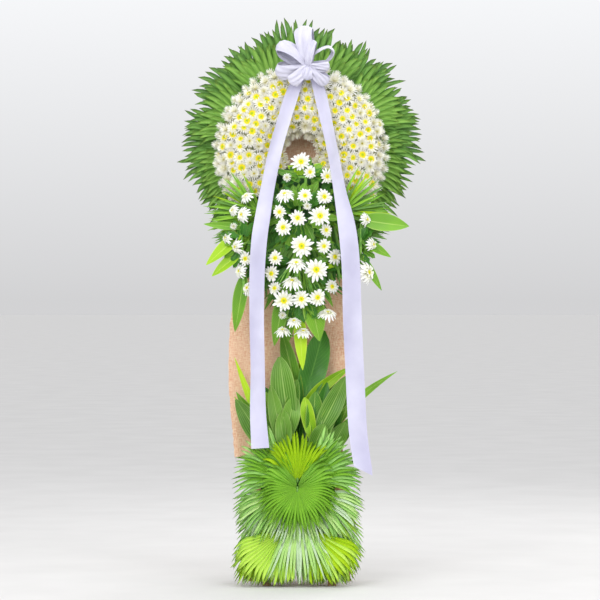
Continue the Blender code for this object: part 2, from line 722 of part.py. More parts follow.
def build_sprays():
    """The loose daisies with their green filling, in five bunches."""
    front = BLOCK_FRONT
    core = ((0.0, -0.165, 1.190), (0.074, 0.030, 0.060))
    spine = [(0.0, -0.160, 1.235), (0.0, -0.165, 1.190), (0.0, -0.160, 1.145)]
    end = socket("spray_foam", (0.0, front, 1.190), (0, 1, 0))
    leaves = filler(*core, 6, 31, 0.085, 0.026)
    mesh = spray([core], spine, MIDDLE_DAISIES, leaves, [([core[0], end], STALK_R)], 300)
    part("spray_middle", mesh, DEEP_GREEN)

    core = ((0.020, -0.156, 1.314), (0.050, 0.014, 0.020))
    spine = [(-0.030, -0.158, 1.316), (0.070, -0.156, 1.314)]
    end = socket("spray_foam", (0.020, front, 1.262), (0, 1, 0))
    leaves = [((0.060, -0.156, 1.314), (1.0, -0.1, 0.5), (0.1, -1, 0.3), 0.060, 0.022, 0.1)]
    leaves.append(((-0.02, -0.158, 1.315), (-1.0, -0.1, 0.4), (0.1, -1, 0.3), 0.070, 0.022, 0.1))
    stems = [([core[0], (0.020, -0.146, 1.262), end], STALK_R)]
    part("spray_top", spray([core], spine, TOP_DAISIES, leaves, stems, 330), DEEP_GREEN)

    cores = [((0.0, -0.156, 1.030), (0.078, 0.030, 0.056)), ((0.0, -0.152, 0.930), (0.058, 0.020, 0.050))]
    entry = (0.0, BLOCK_FRONT + 0.022, BLOCK[2])
    end = socket("spray_foam", entry, (0, 0, 1))
    spine = [(0.0, -0.150, 1.080), (0.0, -0.156, 1.030), (0.0, -0.152, 0.930), (-0.010, -0.140, 0.800)]
    leaves = filler(*cores[0], 6, 32, 0.080, 0.026, -1.0, 0.2)
    leaves += [
        ((-0.045, -0.150, 0.950), (-0.25, 0.02, -1.0), (-0.2, -1, 0), 0.155, 0.048, 0.02),
        ((0.030, -0.150, 0.950), (0.20, 0.02, -1.0), (0.2, -1, 0), 0.160, 0.060, 0.03),
        ((0.000, -0.146, 0.880), (0.03, 0.0, -1.0), (0, -1, 0), 0.190, 0.034, 0.0),
        ((0.055, -0.150, 1.000), (0.5, 0.1, -1.0), (0.2, -1, 0), 0.120, 0.020, 0.05),
        ((-0.055, -0.150, 1.000), (-0.5, 0.1, -1.0), (-0.2, -1, 0), 0.130, 0.018, 0.05),
    ]
    stems = [([spine[0], (0.0, entry[1], 1.090), end], STALK_R)]
    mesh = spray(cores, spine, TAIL_DAISIES, leaves, stems, 360, "MANIFOLD")
    part("spray_tail", mesh, DEEP_GREEN)

    core = ((-0.185, -0.182, 1.095), (0.030, 0.014, 0.060))
    spine = [(-0.190, -0.182, 1.160), (-0.186, -0.182, 1.090), (-0.178, -0.176, 0.940)]
    entry = (BLOCK[0], -0.115, 1.140)
    end = socket("spray_foam", entry, (1, 0, 0))
    leaves = [
        ((-0.190, -0.182, 1.130), (-1.0, -0.05, -0.9), (-0.3, -1, 0.2), 0.150, 0.042, 0.02),
        ((-0.190, -0.182, 1.070), (-0.75, -0.05, -0.6), (-0.3, -1, 0.2), 0.120, 0.036, 0.05),
        ((-0.190, -0.184, 1.150), (-1.0, -0.10, 0.1), (-0.3, -1, 0.2), 0.120, 0.024, 0.0),
        ((-0.178, -0.176, 1.000), (-0.15, 0.10, -1.0), (-0.3, -1, 0.0), 0.190, 0.046, 0.05),
    ]
    stems = [([core[0], (-0.120, -0.130, 1.120), (-0.110, entry[1], 1.140), end], STALK_R)]
    part("spray_left", spray([core], spine, LEFT_DAISIES, leaves, stems, 400), DEEP_GREEN)

    core = ((0.195, -0.182, 1.090), (0.026, 0.014, 0.050))
    spine = [(0.198, -0.182, 1.150), (0.196, -0.182, 1.090), (0.196, -0.178, 1.000)]
    entry = (BLOCK[1], -0.115, 1.140)
    end = socket("spray_foam", entry, (-1, 0, 0))
    leaves = [
        ((0.200, -0.182, 1.135), (1.0, -0.05, 0.10), (0.3, -1, 0.2), 0.150, 0.040, 0.0),
        ((0.200, -0.180, 1.060), (0.55, 0.05, -1.0), (0.3, -1, 0.0), 0.130, 0.026, 0.02),
        ((0.200, -0.182, 1.110), (0.9, -0.05, -0.5), (0.3, -1, 0.2), 0.110, 0.030, 0.05),
    ]
    stems = [([core[0], (0.120, -0.130, 1.120), (0.110, entry[1], 1.140), end], STALK_R)]
    part("spray_right", spray([core], spine, RIGHT_DAISIES, leaves, stems, 430), DEEP_GREEN)

    low, high = (BLOCK[0], BLOCK_FRONT, BLOCK[2]), (BLOCK[1], BLOCK_BACK - CLEAR, BLOCK[3])
    part("spray_foam", drill(block_mesh(low, high), sockets["spray_foam"]), FOAM_GREEN)


def stalk(name, root, top, leaves, colour, solver="EXACT"):
    """A stalk that stands in the lower foam, with broad leaves fused to it."""
    end = socket("base_foam", root, (0, 0, -1))
    pieces = [rod([end, Vector(root), Vector(top)], STALK_R)]
    for base, way, face, length, width, bend in leaves:
        pieces.append(leaf(base, way, face, length, width, bend, STALK_STATIONS))
    part(name, fused(pieces, solver), colour, 0.4)


def build_stalks():
    top = BASE_BLOCK[3]
    front = (0, -1, 0)
    stalk("stalk_left", (-0.080, -0.080, top), (-0.105, -0.085, 0.50), [
        ((-0.100, -0.084, 0.47), (-0.75, 0.05, 0.9), front, 0.180, 0.050, 0.06),
        ((-0.098, -0.084, 0.44), (-1.0, 0.05, 1.15), (-0.3, -1, 0), 0.190, 0.026, 0.02),
        ((-0.104, -0.086, 0.48), (-0.30, 0.02, 1.0), front, 0.190, 0.034, 0.02),
    ], GREEN, "MANIFOLD")
    stalk("stalk_middle_left", (-0.040, -0.110, top), (-0.055, -0.118, 0.53), [
        ((-0.052, -0.116, 0.49), (-0.25, 0.02, 1.0), front, 0.220, 0.050, 0.04),
        ((-0.050, -0.116, 0.47), (0.30, 0.02, 1.0), (0.2, -1, 0), 0.190, 0.040, 0.03),
        ((-0.053, -0.118, 0.51), (-0.02, -0.05, 1.0), (-0.2, -1, 0), 0.150, 0.036, 0.03),
    ], LIME)
    stalk("stalk_centre", (0.000, -0.060, top), (0.000, -0.066, 0.60), [
        ((0.000, -0.066, 0.56), (-0.18, 0.0, 1.0), (-0.2, -1, 0), 0.255, 0.046, 0.01),
        ((0.000, -0.066, 0.57), (0.30, 0.0, 1.0), (0.3, -1, 0), 0.240, 0.068, 0.01),
        ((0.000, -0.066, 0.54), (0.55, 0.0, 1.0), (0.2, -1, 0), 0.215, 0.036, 0.02),
    ], GREEN)
    stalk("stalk_middle_right", (0.040, -0.110, top), (0.050, -0.120, 0.51), [
        ((0.047, -0.118, 0.48), (0.42, -0.05, 1.0), (0.2, -1, 0), 0.210, 0.036, 0.02),
        ((0.046, -0.117, 0.46), (0.02, -0.03, 1.0), front, 0.160, 0.048, 0.03),
        ((0.050, -0.120, 0.49), (-0.28, -0.05, 1.0), (-0.2, -1, 0), 0.140, 0.036, 0.05),
    ], LIME)
    stalk("stalk_right", (0.075, -0.070, top), (0.100, -0.074, 0.50), [
        ((0.098, -0.074, 0.48), (0.85, 0.02, 0.75), (0.2, -1, 0.3), 0.290, 0.028, 0.06),
        ((0.096, -0.074, 0.47), (0.35, 0.02, 1.0), front, 0.190, 0.042, 0.03),
    ], GREEN)


def build_skirt():
    """Fan palm leaves that spread down and out from the front of the lower foam."""
    centre = Vector((-0.006, 0.0, 0.322))
    fans = [
        # name, hub offset, heading, spread, fingers, length, hub depth, bulge, colour
        ("skirt_top", 0.012, 92, 84, 11, 0.155, -0.222, 0.010, LIME),
        ("skirt_disc", 0.012, 268, 210, 15, 0.120, -0.232, 0.020, GREEN),
        ("skirt_upper_left", 0.034, 160, 70, 9, 0.172, -0.204, 0.012, DEEP_GREEN),
        ("skirt_upper_right", 0.034, 22, 70, 9, 0.168, -0.204, 0.012, GREEN),
        ("skirt_left", 0.048, 212, 56, 9, 0.168, -0.186, 0.030, GREEN),
        ("skirt_right", 0.048, -32, 56, 9, 0.176, -0.186, 0.030, GREEN),
        ("skirt_low_centre", 0.060, 270, 58, 10, 0.250, -0.190, 0.045, SILVER),
    ]
    for k, (name, off, heading, spread, fingers, length, depth, bulge, colour) in enumerate(fans):
        skirt_leaf(name, centre, off, heading, spread, fingers, length, depth, bulge, colour, 500 + k)
    lower = Vector((-0.006, 0.0, 0.240))
    skirt_leaf("skirt_low_left", lower, 0.070, 228, 76, 10, 0.178, -0.170, 0.030, LIME, 520)
    skirt_leaf("skirt_low_right", lower, 0.070, -48, 76, 10, 0.174, -0.170, 0.030, LIME, 521)


def skirt_leaf(name, centre, off, heading, spread, fingers, length, depth, bulge, colour, seed):
    turn = math.radians(heading)
    hub = centre + Vector((math.cos(turn), 0.0, math.sin(turn))) * off
    hub.y = depth

    def length_of(way):
        drop = -math.sin(way)
        floor = (hub.z - 0.004) / drop if drop > 0.05 else length
        return min(length, floor)

    def depth_of(spot):
        far = math.hypot(spot.x - hub.x, spot.z - hub.z) / length
        return bulge * (far * far - 1.2 * far)

    entry = Vector((hub.x, BASE_FRONT, hub.z))
    end = socket("base_foam", entry, (0, 1, 0), STALK_R * 0.8)
    stem = [entry, end]
    palm(name, hub, turn, math.radians(spread), fingers, length_of, depth_of, seed, stem, colour, 0.5, 0.004)


def build_base_foam():
    low = (BASE_BLOCK[0], BASE_FRONT, BASE_BLOCK[2])
    high = (BASE_BLOCK[1], BASE_BACK, BASE_BLOCK[3])
    part("base_foam", drill(block_mesh(low, high), sockets["base_foam"]), FOAM_GREEN)


def build_ribbons():
    """Two long ribbons that start behind the knot and hang down the front."""
    left = [
        (0.016, 1.672, -0.1567, 0.014), (0.000, 1.640, -0.1565, 0.034), (-0.022, 1.590, -0.160, 0.048),
        (-0.050, 1.500, -0.1680, 0.050), (-0.078, 1.400, -0.1720, 0.052), (-0.104, 1.270, -0.192, 0.052),
        (-0.122, 1.180, -0.214, 0.052), (-0.134, 1.110, -0.220, 0.052), (-0.141, 1.000, -0.212, 0.050),
        (-0.141, 0.850, -0.203, 0.050), (-0.138, 0.700, -0.193, 0.050), (-0.138, 0.560, -0.184, 0.053),
        (-0.126, 0.430, -0.232, 0.058),
    ]
    right = [
        (0.0375, 1.672, -0.1562, 0.014), (0.052, 1.640, -0.1565, 0.034), (0.066, 1.590, -0.160, 0.044),
        (0.086, 1.500, -0.1680, 0.046), (0.108, 1.400, -0.1720, 0.044), (0.132, 1.270, -0.196, 0.050),
        (0.152, 1.180, -0.214, 0.060), (0.164, 1.100, -0.220, 0.062), (0.171, 1.000, -0.214, 0.062),
        (0.176, 0.850, -0.204, 0.062), (0.182, 0.700, -0.194, 0.062), (0.190, 0.500, -0.206, 0.060),
        (0.205, 0.360, -0.236, 0.058),
    ]
    for side, stops in (("left", left), ("right", right)):
        path = [(x, depth, z) for x, z, depth, _ in stops]
        widths = [width for _, _, _, width in stops]
        across = [(1.0, 0.0, -0.12 if side == "right" else 0.06)] * len(stops)
        part("ribbon_" + side, fused([strip(path, across, widths)]), SATIN, 0.35)


def loop_piece(knot, turn, length, width, depth, rise):
    """One loop of the bow: a band that runs out from the knot, over and back."""
    way = Vector((math.cos(turn), 0.0, math.sin(turn)))
    side = Vector((-math.sin(turn), 0.0, math.cos(turn)))
    path, across, widths = [], [], []
    steps = 5
    for k in range(steps + 1):
        angle = 2 * math.pi * k / steps
        out = length * (1 - math.cos(angle)) / 2
        lift = rise * math.sin(angle)
        path.append(Vector(knot) + way * out + Vector((0, depth - lift, 0)))
        across.append(side)
        widths.append(width * (0.30 + 0.70 * math.sin(angle / 2)))
    path[-1] = path[-1] + Vector((0, 0.0018, 0)) - way * 0.002
    return strip(path, across, widths)


def build_bow():
    """A bow of satin loops round a knot, with the pick that holds it in the ring."""
    knot = Vector((0.028, -0.172, 1.674))
    pieces = [blob(knot, (0.020, 0.016, 0.020), 600, 0.0, 6, 4)]
    loops = [
        # heading, length, width, depth, rise
        (96, 0.132, 0.062, -0.004, 0.016), (140, 0.112, 0.056, -0.002, 0.015),
        (182, 0.102, 0.054, 0.000, 0.015), (222, 0.084, 0.046, -0.012, 0.011),
        (262, 0.056, 0.040, -0.014, 0.011), (318, 0.090, 0.044, -0.012, 0.011),
        (38, 0.098, 0.040, -0.004, 0.014), (2, 0.070, 0.036, -0.010, 0.013),
    ]
    for heading, length, width, depth, rise in loops:
        pieces.append(loop_piece(knot, math.radians(heading), length, width, depth, rise))
    entry = Vector((knot.x, -0.096, knot.z - 0.006))
    end = socket("mums_3", entry, (0, 1, 0), 0.0025, 0.018)
    pieces.append(rod([knot, entry, end], 0.0025))
    part("bow", fused(pieces), SATIN, 0.35)


def lean_and_centre():
    """Lean every mesh back, then set the middle of the stand's base on the origin."""
    shear = Matrix.Identity(4)
    shear[1][2] = LEAN
    low, high = Vector((9, 9, 9)), Vector((-9, -9, -9))
    for item in stand.objects:
        item.data.transform(shear)
        for vert in item.data.vertices:
            low = Vector(map(min, low, vert.co))
            high = Vector(map(max, high, vert.co))
    shift = Vector((-(low.x + high.x) / 2, -(low.y + high.y) / 2, -low.z))
    for item in stand.objects:
        item.data.transform(Matrix.Translation(shift))


clear_scene()
stand = bpy.data.collections.new("funeral_flower_stand")
workshop = bpy.data.collections.new("workshop")
bpy.context.scene.collection.children.link(stand)
bpy.context.scene.collection.children.link(workshop)
build_stand()
build_cloth()
build_bow()
build_ring()
build_back_palms()
build_side_palms()
build_sprays()
build_stalks()
build_skirt()
build_base_foam()
build_ribbons()
lean_and_centre()
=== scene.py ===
"""The look of the funeral flower stand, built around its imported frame.

Everything is drawn upright, with depth y running back from the face of the legs, and then leans back with the
frame: y grows by LEAN times the height.
"""

import math
import random

import bpy
import numpy as np
from mathutils import Matrix, Vector


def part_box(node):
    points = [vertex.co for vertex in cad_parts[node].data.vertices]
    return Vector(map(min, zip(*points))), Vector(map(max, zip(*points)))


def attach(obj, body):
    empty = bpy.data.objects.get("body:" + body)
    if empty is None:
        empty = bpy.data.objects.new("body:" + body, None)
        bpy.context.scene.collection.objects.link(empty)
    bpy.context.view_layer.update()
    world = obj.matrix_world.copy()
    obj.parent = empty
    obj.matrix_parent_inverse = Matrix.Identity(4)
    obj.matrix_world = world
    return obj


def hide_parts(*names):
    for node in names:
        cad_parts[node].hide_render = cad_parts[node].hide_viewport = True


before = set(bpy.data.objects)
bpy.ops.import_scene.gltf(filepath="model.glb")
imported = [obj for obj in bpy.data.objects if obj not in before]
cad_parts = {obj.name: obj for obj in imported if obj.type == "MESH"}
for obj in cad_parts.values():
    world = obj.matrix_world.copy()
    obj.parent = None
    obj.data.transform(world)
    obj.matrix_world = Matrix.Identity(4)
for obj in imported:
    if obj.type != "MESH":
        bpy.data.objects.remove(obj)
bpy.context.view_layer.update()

LEAN = math.tan(math.radians(4.0))
SHELF_HALF, SHELF_Z = 0.16, 0.1
shelf_low, shelf_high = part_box("shelf")
SHIFT_X = (shelf_low[0] + shelf_high[0]) / 2
SHIFT_Y = shelf_low[1] + SHELF_HALF - LEAN * SHELF_Z

RING_X, RING_Z = 0.005, 1.4025
RING_MID, RING_HALF, RING_DOME = 0.165, 0.106, 0.078
RING_SECTOR = math.radians(45.0)
FOAM_OUT = 0.235
BACK_FAN_Y, FRONT_FAN_Y = -0.0305, -0.0415
FOAM_BACK = -0.0451
BLOCK_FRONT = -0.1254
BASE_FRONT, BASE_TOP = -0.15, 0.4
HEAD_ROW_GAP, HEAD_GAP = 0.029, 0.0315
GOLDEN_TURN = math.pi * (3 - math.sqrt(5))
KNOT = Vector((0.028, -0.172, 1.674))

# Meshes


class Piece:
    """Collects the points and faces of one object, with a map and a tint for its materials."""

    def __init__(self):
        self.points, self.faces, self.slots = [], [], []
        self.maps, self.tints, self.count = [], [], 0

    def add(self, points, faces, slots, maps, tint):
        self.points.append(points)
        self.faces += [tuple(i + self.count for i in face) for face in faces]
        self.slots += slots
        self.maps.append(maps)
        self.tints.append(np.full(len(points), tint) if np.isscalar(tint) else np.asarray(tint))
        self.count += len(points)

    def grid(self, rows, slot, maps, tint=0.5, wide=None):
        """A sheet of quads from rows of points, or from one run of points that is so many wide."""
        rows = np.asarray(rows, dtype=float)
        points = rows.reshape(-1, 3)
        wide = wide or rows.shape[1]
        faces = grid_faces(len(points) // wide, wide)
        maps = np.asarray(maps, dtype=float).reshape(-1, 2)
        self.add(points, faces, [slot] * len(faces), maps, tint)

    def place(self, shape, matrix, tint):
        """A copy of a ready-made piece."""
        points = np.concatenate(shape.points) @ np.array(matrix.to_3x3()).T + np.array(matrix.translation)
        self.add(points, shape.faces, shape.slots, np.concatenate(shape.maps), tint)

    def tube(self, path, radius, slot, tint=0.5, sides=5):
        """A round stem along a path, thinner at its end where two radii are given."""
        path = [Vector(p) for p in path]
        ends = radius if isinstance(radius, tuple) else (radius, radius)
        rows, maps = [], []
        for k, spot in enumerate(path):
            way = (path[min(k + 1, len(path) - 1)] - path[max(k - 1, 0)]).normalized()
            side = way.cross(Vector((0.3, 1.0, 0.2))).normalized()
            other = way.cross(side)
            share = k / (len(path) - 1)
            thick = ends[0] + (ends[1] - ends[0]) * share
            ring = [side * math.cos(t) + other * math.sin(t) for t in round_turns(sides)]
            rows.append([spot + out * thick for out in ring])
            maps.append([(j / sides, share) for j in range(sides + 1)])
        self.grid(rows, slot, maps, tint)

    def build(self, name, nodes, materials):
        """The object: leaned, shifted onto the frame, riding on it and standing for its nodes."""
        points = np.concatenate(self.points)
        points[:, 1] += LEAN * points[:, 2] + SHIFT_Y
        points[:, 0] += SHIFT_X
        mesh = bpy.data.meshes.new(name)
        mesh.from_pydata(points.tolist(), [], self.faces)
        for material in materials:
            mesh.materials.append(material)
        mesh.polygons.foreach_set("material_index", self.slots)
        mesh.polygons.foreach_set("use_smooth", [True] * len(mesh.polygons))
        corners = np.empty(len(mesh.loops), dtype=np.int32)
        mesh.loops.foreach_get("vertex_index", corners)
        layer = mesh.uv_layers.new(name="map")
        layer.data.foreach_set("uv", np.concatenate(self.maps)[corners].ravel())
        tint = np.concatenate(self.tints)
        shades = np.ones((len(tint), 4))
        shades[:, :3] = tint[:, None]
        attribute = mesh.color_attributes.new("tint", "FLOAT_COLOR", "POINT")
        attribute.data.foreach_set("color", shades.ravel())
        mesh.update()
        item = linked(name, mesh)
        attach(item, "root")
        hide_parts(*nodes)
        return item


def grid_faces(tall, wide):
    corners = [r * wide + c for r in range(tall - 1) for c in range(wide - 1)]
    return [(k, k + 1, k + wide + 1, k + wide) for k in corners]


def round_turns(sides):
    """The angles of a closed ring, with the first again at the end."""
    return [2 * math.pi * j / sides for j in range(sides + 1)]


def unit(value):
    return min(1.0, max(0.0, value))


def flat_way(turn):
    """The way at an angle in the upright plane of the ring."""
    return Vector((math.cos(turn), 0.0, math.sin(turn)))


def linked(name, data):
    item = bpy.data.objects.new(name, data)
    bpy.context.scene.collection.objects.link(item)
    return item


def smooth_path(stops, steps):
    """Points along a smooth curve through some stops, each a row of numbers."""
    stops = np.asarray(stops, dtype=float)
    padded = np.vstack([2 * stops[0] - stops[1], stops, 2 * stops[-1] - stops[-2]])
    found = []
    for k in range(len(stops) - 1):
        a, b, c, d = padded[k:k + 4]
        last = k == len(stops) - 2
        for step in range(steps + (1 if last else 0)):
            t = step / steps
            found.append(0.5 * (2 * b + (c - a) * t + (2 * a - 5 * b + 4 * c - d) * t * t
                                + (3 * b - a - 3 * c + d) * t ** 3))
    return np.array(found)


# Materials


class Shade:
    """A material whose colour, gloss and relief come from nodes."""

    def __init__(self, name, roughness, **sockets):
        self.material = bpy.data.materials.new(name)
        self.material.use_nodes = True
        self.tree = self.material.node_tree
        self.shader = self.tree.nodes["Principled BSDF"]
        self.shader.inputs["Roughness"].default_value = roughness
        for socket, value in sockets.items():
            self.shader.inputs[socket.replace("_", " ")].default_value = value

    def node(self, kind, settings=None, **inputs):
        made = self.tree.nodes.new("ShaderNode" + kind)
        for key, value in (settings or {}).items():
            setattr(made, key, value)
        for key, value in inputs.items():
            socket = made.inputs[int(key[1:])] if key[0] == "i" and key[1:].isdigit() else made.inputs[key]
            if isinstance(value, bpy.types.NodeSocket):
                self.tree.links.new(value, socket)
            else:
                socket.default_value = value
        return made

    def number(self, operation, first, second=0.0, third=0.0):
        return self.node("Math", {"operation": operation}, i0=first, i1=second, i2=third).outputs[0]

    def times(self, first, second):
        return self.number("MULTIPLY", first, second)

    def fold(self, value):
        """How far a value lies from the middle between two whole numbers."""
        return self.number("ABSOLUTE", self.number("SUBTRACT", self.number("FRACT", value), 0.5))

    def mixed(self, share, first, second):
        settings = {"data_type": "RGBA"}
        first = (*first, 1.0) if isinstance(first, tuple) else first
        second = (*second, 1.0) if isinstance(second, tuple) else second
        return self.node("Mix", settings, i0=share, i6=first, i7=second).outputs[2]

    def tint(self):
        return self.node("Attribute", {"attribute_name": "tint"}).outputs["Fac"]

    def noise(self, scale, detail=3.0, vector=None):
        inputs = {"Scale": scale, "Detail": detail}
        if vector is not None:
            inputs["Vector"] = vector
        return self.node("TexNoise", **inputs).outputs[0]

    def place(self):
        return self.node("TexCoord").outputs["Object"]

    def map(self):
        split = self.node("SeparateXYZ", i0=self.node("TexCoord").outputs["UV"])
        return split.outputs[0], split.outputs[1]

    def colour(self, socket):
        self.tree.links.new(socket, self.shader.inputs["Base Color"])

    def rough(self, socket):
        self.tree.links.new(socket, self.shader.inputs["Roughness"])

    def relief(self, height, distance, strength=1.0):
        bump = self.node("Bump", Strength=strength, Distance=distance, Height=height)
        self.tree.links.new(bump.outputs[0], self.shader.inputs["Normal"])

    def ranged(self, value, low, high, to_low=0.0, to_high=1.0):
        return self.node("MapRange", Value=value, i1=low, i2=high, i3=to_low, i4=to_high).outputs[0]


def palm_shade(name, dark, light, pale, roughness=0.42, valley_shade=0.65):
    """A pleated leaf: nine fine ribs per finger, painted shade where fingers meet, browned tips and a mottled
    green.
    """
    s = Shade(name, roughness, Specular_IOR_Level=0.28)
    across, along = s.map()
    rib = s.number("SINE", s.times(across, 9.0 * 2 * math.pi))
    rib = s.ranged(rib, -1.0, 1.0)
    patch = s.noise(38.0, 3.0, s.place())
    base = s.mixed(s.tint(), dark, light)
    base = s.mixed(s.ranged(patch, 0.35, 0.7, 0.0, 0.35), base, light)
    base = s.mixed(s.times(rib, 0.22), base, pale)
    # the middle fold of each finger is paler
    fold = s.fold(across)
    base = s.mixed(s.ranged(fold, 0.0, 0.07, 0.45, 0.0), base, pale)
    # painted shade: each finger darkens towards its edges, where it folds into the next
    base = s.mixed(s.ranged(fold, 0.28, 0.5, 0.0, valley_shade), base, dark)
    base = s.mixed(s.ranged(along, 0.9, 1.0, 0.0, 0.35), base, (0.3, 0.3, 0.06))
    s.colour(base)
    s.rough(s.ranged(patch, 0.3, 0.7, roughness - 0.08, roughness + 0.12))
    s.relief(rib, 0.0006, 0.6)
    return s.material


def leaf_shade(name, dark, light, vein, ribbed=False):
    """A broad leaf: a pale midrib, side veins that slant from it or run along it, and a mottled green."""
    s = Shade(name, 0.36, Specular_IOR_Level=0.3)
    across, along = s.map()
    off = s.number("ABSOLUTE", across)
    slant = s.number("SUBTRACT", s.times(along, 17.0), s.times(off, 4.0))
    if ribbed:
        slant = s.number("ADD", s.times(off, 5.0), s.times(along, 0.8))
    side_line = s.ranged(s.fold(slant), 0.0, 0.24 if ribbed else 0.1, 1.0, 0.0)
    mid_line = s.ranged(off, 0.0, 0.07, 1.0, 0.0)
    patch = s.noise(26.0, 4.0, s.place())
    base = s.mixed(s.tint(), dark, light)
    base = s.mixed(s.ranged(patch, 0.4, 0.7, 0.0, 0.4), base, light)
    base = s.mixed(s.ranged(along, 0.0, 0.6, 0.65, 0.0), base, dark)
    base = s.mixed(s.ranged(off, 0.86, 0.97, 0.0, 0.6), base, vein)
    base = s.mixed(s.ranged(s.noise(7.0, 2.0, s.place()), 0.45, 0.65, 0.0, 0.45), base, dark)
    base = s.mixed(s.times(side_line, 0.44 if ribbed else 0.42), base, vein)
    base = s.mixed(s.times(mid_line, 0.75), base, vein)
    s.colour(base)
    s.rough(s.ranged(patch, 0.3, 0.7, 0.28, 0.44))
    s.relief(s.number("MAXIMUM", side_line, mid_line), 0.0006, 0.5)
    return s.material


def petal_shade(name, root, body):
    """A petal: creamy at its root, white along its length, with fine lines."""
    s = Shade(name, 0.55, Specular_IOR_Level=0.3)
    across, along = s.map()
    lines = s.ranged(s.number("SINE", s.times(across, 30.0)), -1.0, 1.0)
    base = s.mixed(s.ranged(along, 0.05, 0.75), root, body)
    # the tint turns a petal cream: a random tone on the daisies, and on the ring's inner rows partly older
    # petals, partly painted shade
    base = s.mixed(s.times(s.tint(), 0.45), base, (0.9, 0.84, 0.62))
    base = s.mixed(s.times(lines, 0.07), base, (0.66, 0.68, 0.58))
    s.colour(base)
    s.relief(lines, 0.0003, 0.4)
    return s.material


def disc_shade():
    """The middle of a head: crowded florets, green at its centre and yellow round it."""
    s = Shade("floret_disc", 0.6, Specular_IOR_Level=0.25)
    _, along = s.map()
    cells = s.node("TexVoronoi", Vector=s.place(), Scale=620.0).outputs["Distance"]
    base = s.mixed(s.ranged(along, 0.15, 0.62), (0.24, 0.46, 0.01), (0.88, 0.76, 0.01))
    base = s.mixed(s.ranged(cells, 0.1, 0.6, 0.0, 0.25), base, (0.8, 0.62, 0.02))
    s.colour(base)
    s.relief(cells, 0.0008, 0.7)
    return s.material


def stem_shade(name, dark, light):
    s = Shade(name, 0.45)
    across, _ = s.map()
    streak = s.noise(60.0, 3.0, s.place())
    s.colour(s.mixed(s.ranged(streak, 0.35, 0.65), dark, light))
    s.relief(s.number("SINE", s.times(across, 40.0)), 0.0003, 0.4)
    return s.material


def satin_shade(name, low, high, shadow):
    """Satin ribbon: white under a painted lavender reflection, with a soft sheen and fine threads across it.
    """
    s = Shade(name, 0.36, Sheen_Weight=0.35, Sheen_Roughness=0.35, Specular_IOR_Level=0.45)
    across, along = s.map()
    threads = s.number("SINE", s.times(along, 9000.0))
    slub = s.noise(22.0, 2.0, s.place())
    base = s.mixed(s.ranged(slub, 0.3, 0.7), low, high)
    edge = s.ranged(s.number("ABSOLUTE", across), 0.9, 0.97, 0.0, 0.35)
    base = s.mixed(edge, base, (0.74, 0.72, 0.88))
    base = s.mixed(s.times(s.tint(), 0.6), base, shadow)
    s.colour(base)
    s.relief(s.number("ADD", threads, s.times(edge, 6.0)), 0.0002, 0.35)
    return s.material


def burlap_shade():
    """Coarse jute: threads over and under, some thicker and darker than others."""
    s = Shade("jute_burlap", 0.92, Specular_IOR_Level=0.15, Sheen_Weight=0.2)
    across, along = s.map()
    pitch = 0.0052
    wide = s.number("SINE", s.times(across, 2 * math.pi / pitch))
    tall = s.number("SINE", s.times(along, 2 * math.pi / pitch))
    weave = s.ranged(s.times(wide, tall), -1.0, 1.0)

    def streaks(wide_scale, tall_scale):
        stretch = s.node("CombineXYZ", i0=s.times(across, wide_scale), i1=s.times(along, tall_scale))
        return s.noise(1.0, 2.0, stretch.outputs[0])

    thread = s.times(s.number("ADD", streaks(60.0, 420.0), streaks(420.0, 60.0)), 0.5)
    cloud = s.noise(9.0, 3.0, s.place())
    base = s.mixed(s.ranged(thread, 0.4, 0.6), (0.76, 0.36, 0.21), (1.0, 0.78, 0.55))
    base = s.mixed(s.ranged(weave, 0.0, 1.0, 0.3, 0.0), base, (0.46, 0.21, 0.12))
    base = s.mixed(s.ranged(cloud, 0.3, 0.7, 0.0, 0.35), base, (0.98, 0.68, 0.47))
    s.colour(base)
    s.relief(s.number("ADD", weave, thread), 0.0012, 0.8)
    return s.material


def wood_shade(name, grain, dark, light):
    """Sawn timber, with its grain drawn out along one axis."""
    s = Shade(name, 0.62, Specular_IOR_Level=0.3)
    scale = {"x": (3.0, 70.0, 70.0), "z": (70.0, 70.0, 3.0), "ply": (4.0, 60.0, 22.0)}[grain]
    stretch = s.node("Mapping", Vector=s.place(), Scale=scale).outputs[0]
    lines = s.noise(1.0, 5.0, stretch)
    fine = s.noise(4.0, 3.0, stretch)
    base = s.mixed(s.ranged(lines, 0.35, 0.65), dark, light)
    base = s.mixed(s.ranged(fine, 0.45, 0.7, 0.0, 0.4), base, dark)
    s.colour(base)
    s.rough(s.ranged(lines, 0.3, 0.7, 0.5, 0.75))
    s.relief(s.number("ADD", lines, fine), 0.0008, 0.5)
    return s.material


def foam_shade():
    """Floral foam: dry green with open cells."""
    s = Shade("floral_foam", 0.95, Specular_IOR_Level=0.1)
    cells = s.node("TexVoronoi", Vector=s.place(), Scale=420.0).outputs["Distance"]
    patch = s.noise(14.0, 4.0, s.place())
    base = s.mixed(s.ranged(cells, 0.1, 0.7), (0.045, 0.14, 0.05), (0.1, 0.25, 0.09))
    s.colour(s.mixed(s.ranged(patch, 0.4, 0.7, 0.0, 0.4), base, (0.03, 0.09, 0.035)))
    s.relief(cells, 0.002, 0.8)
    return s.material
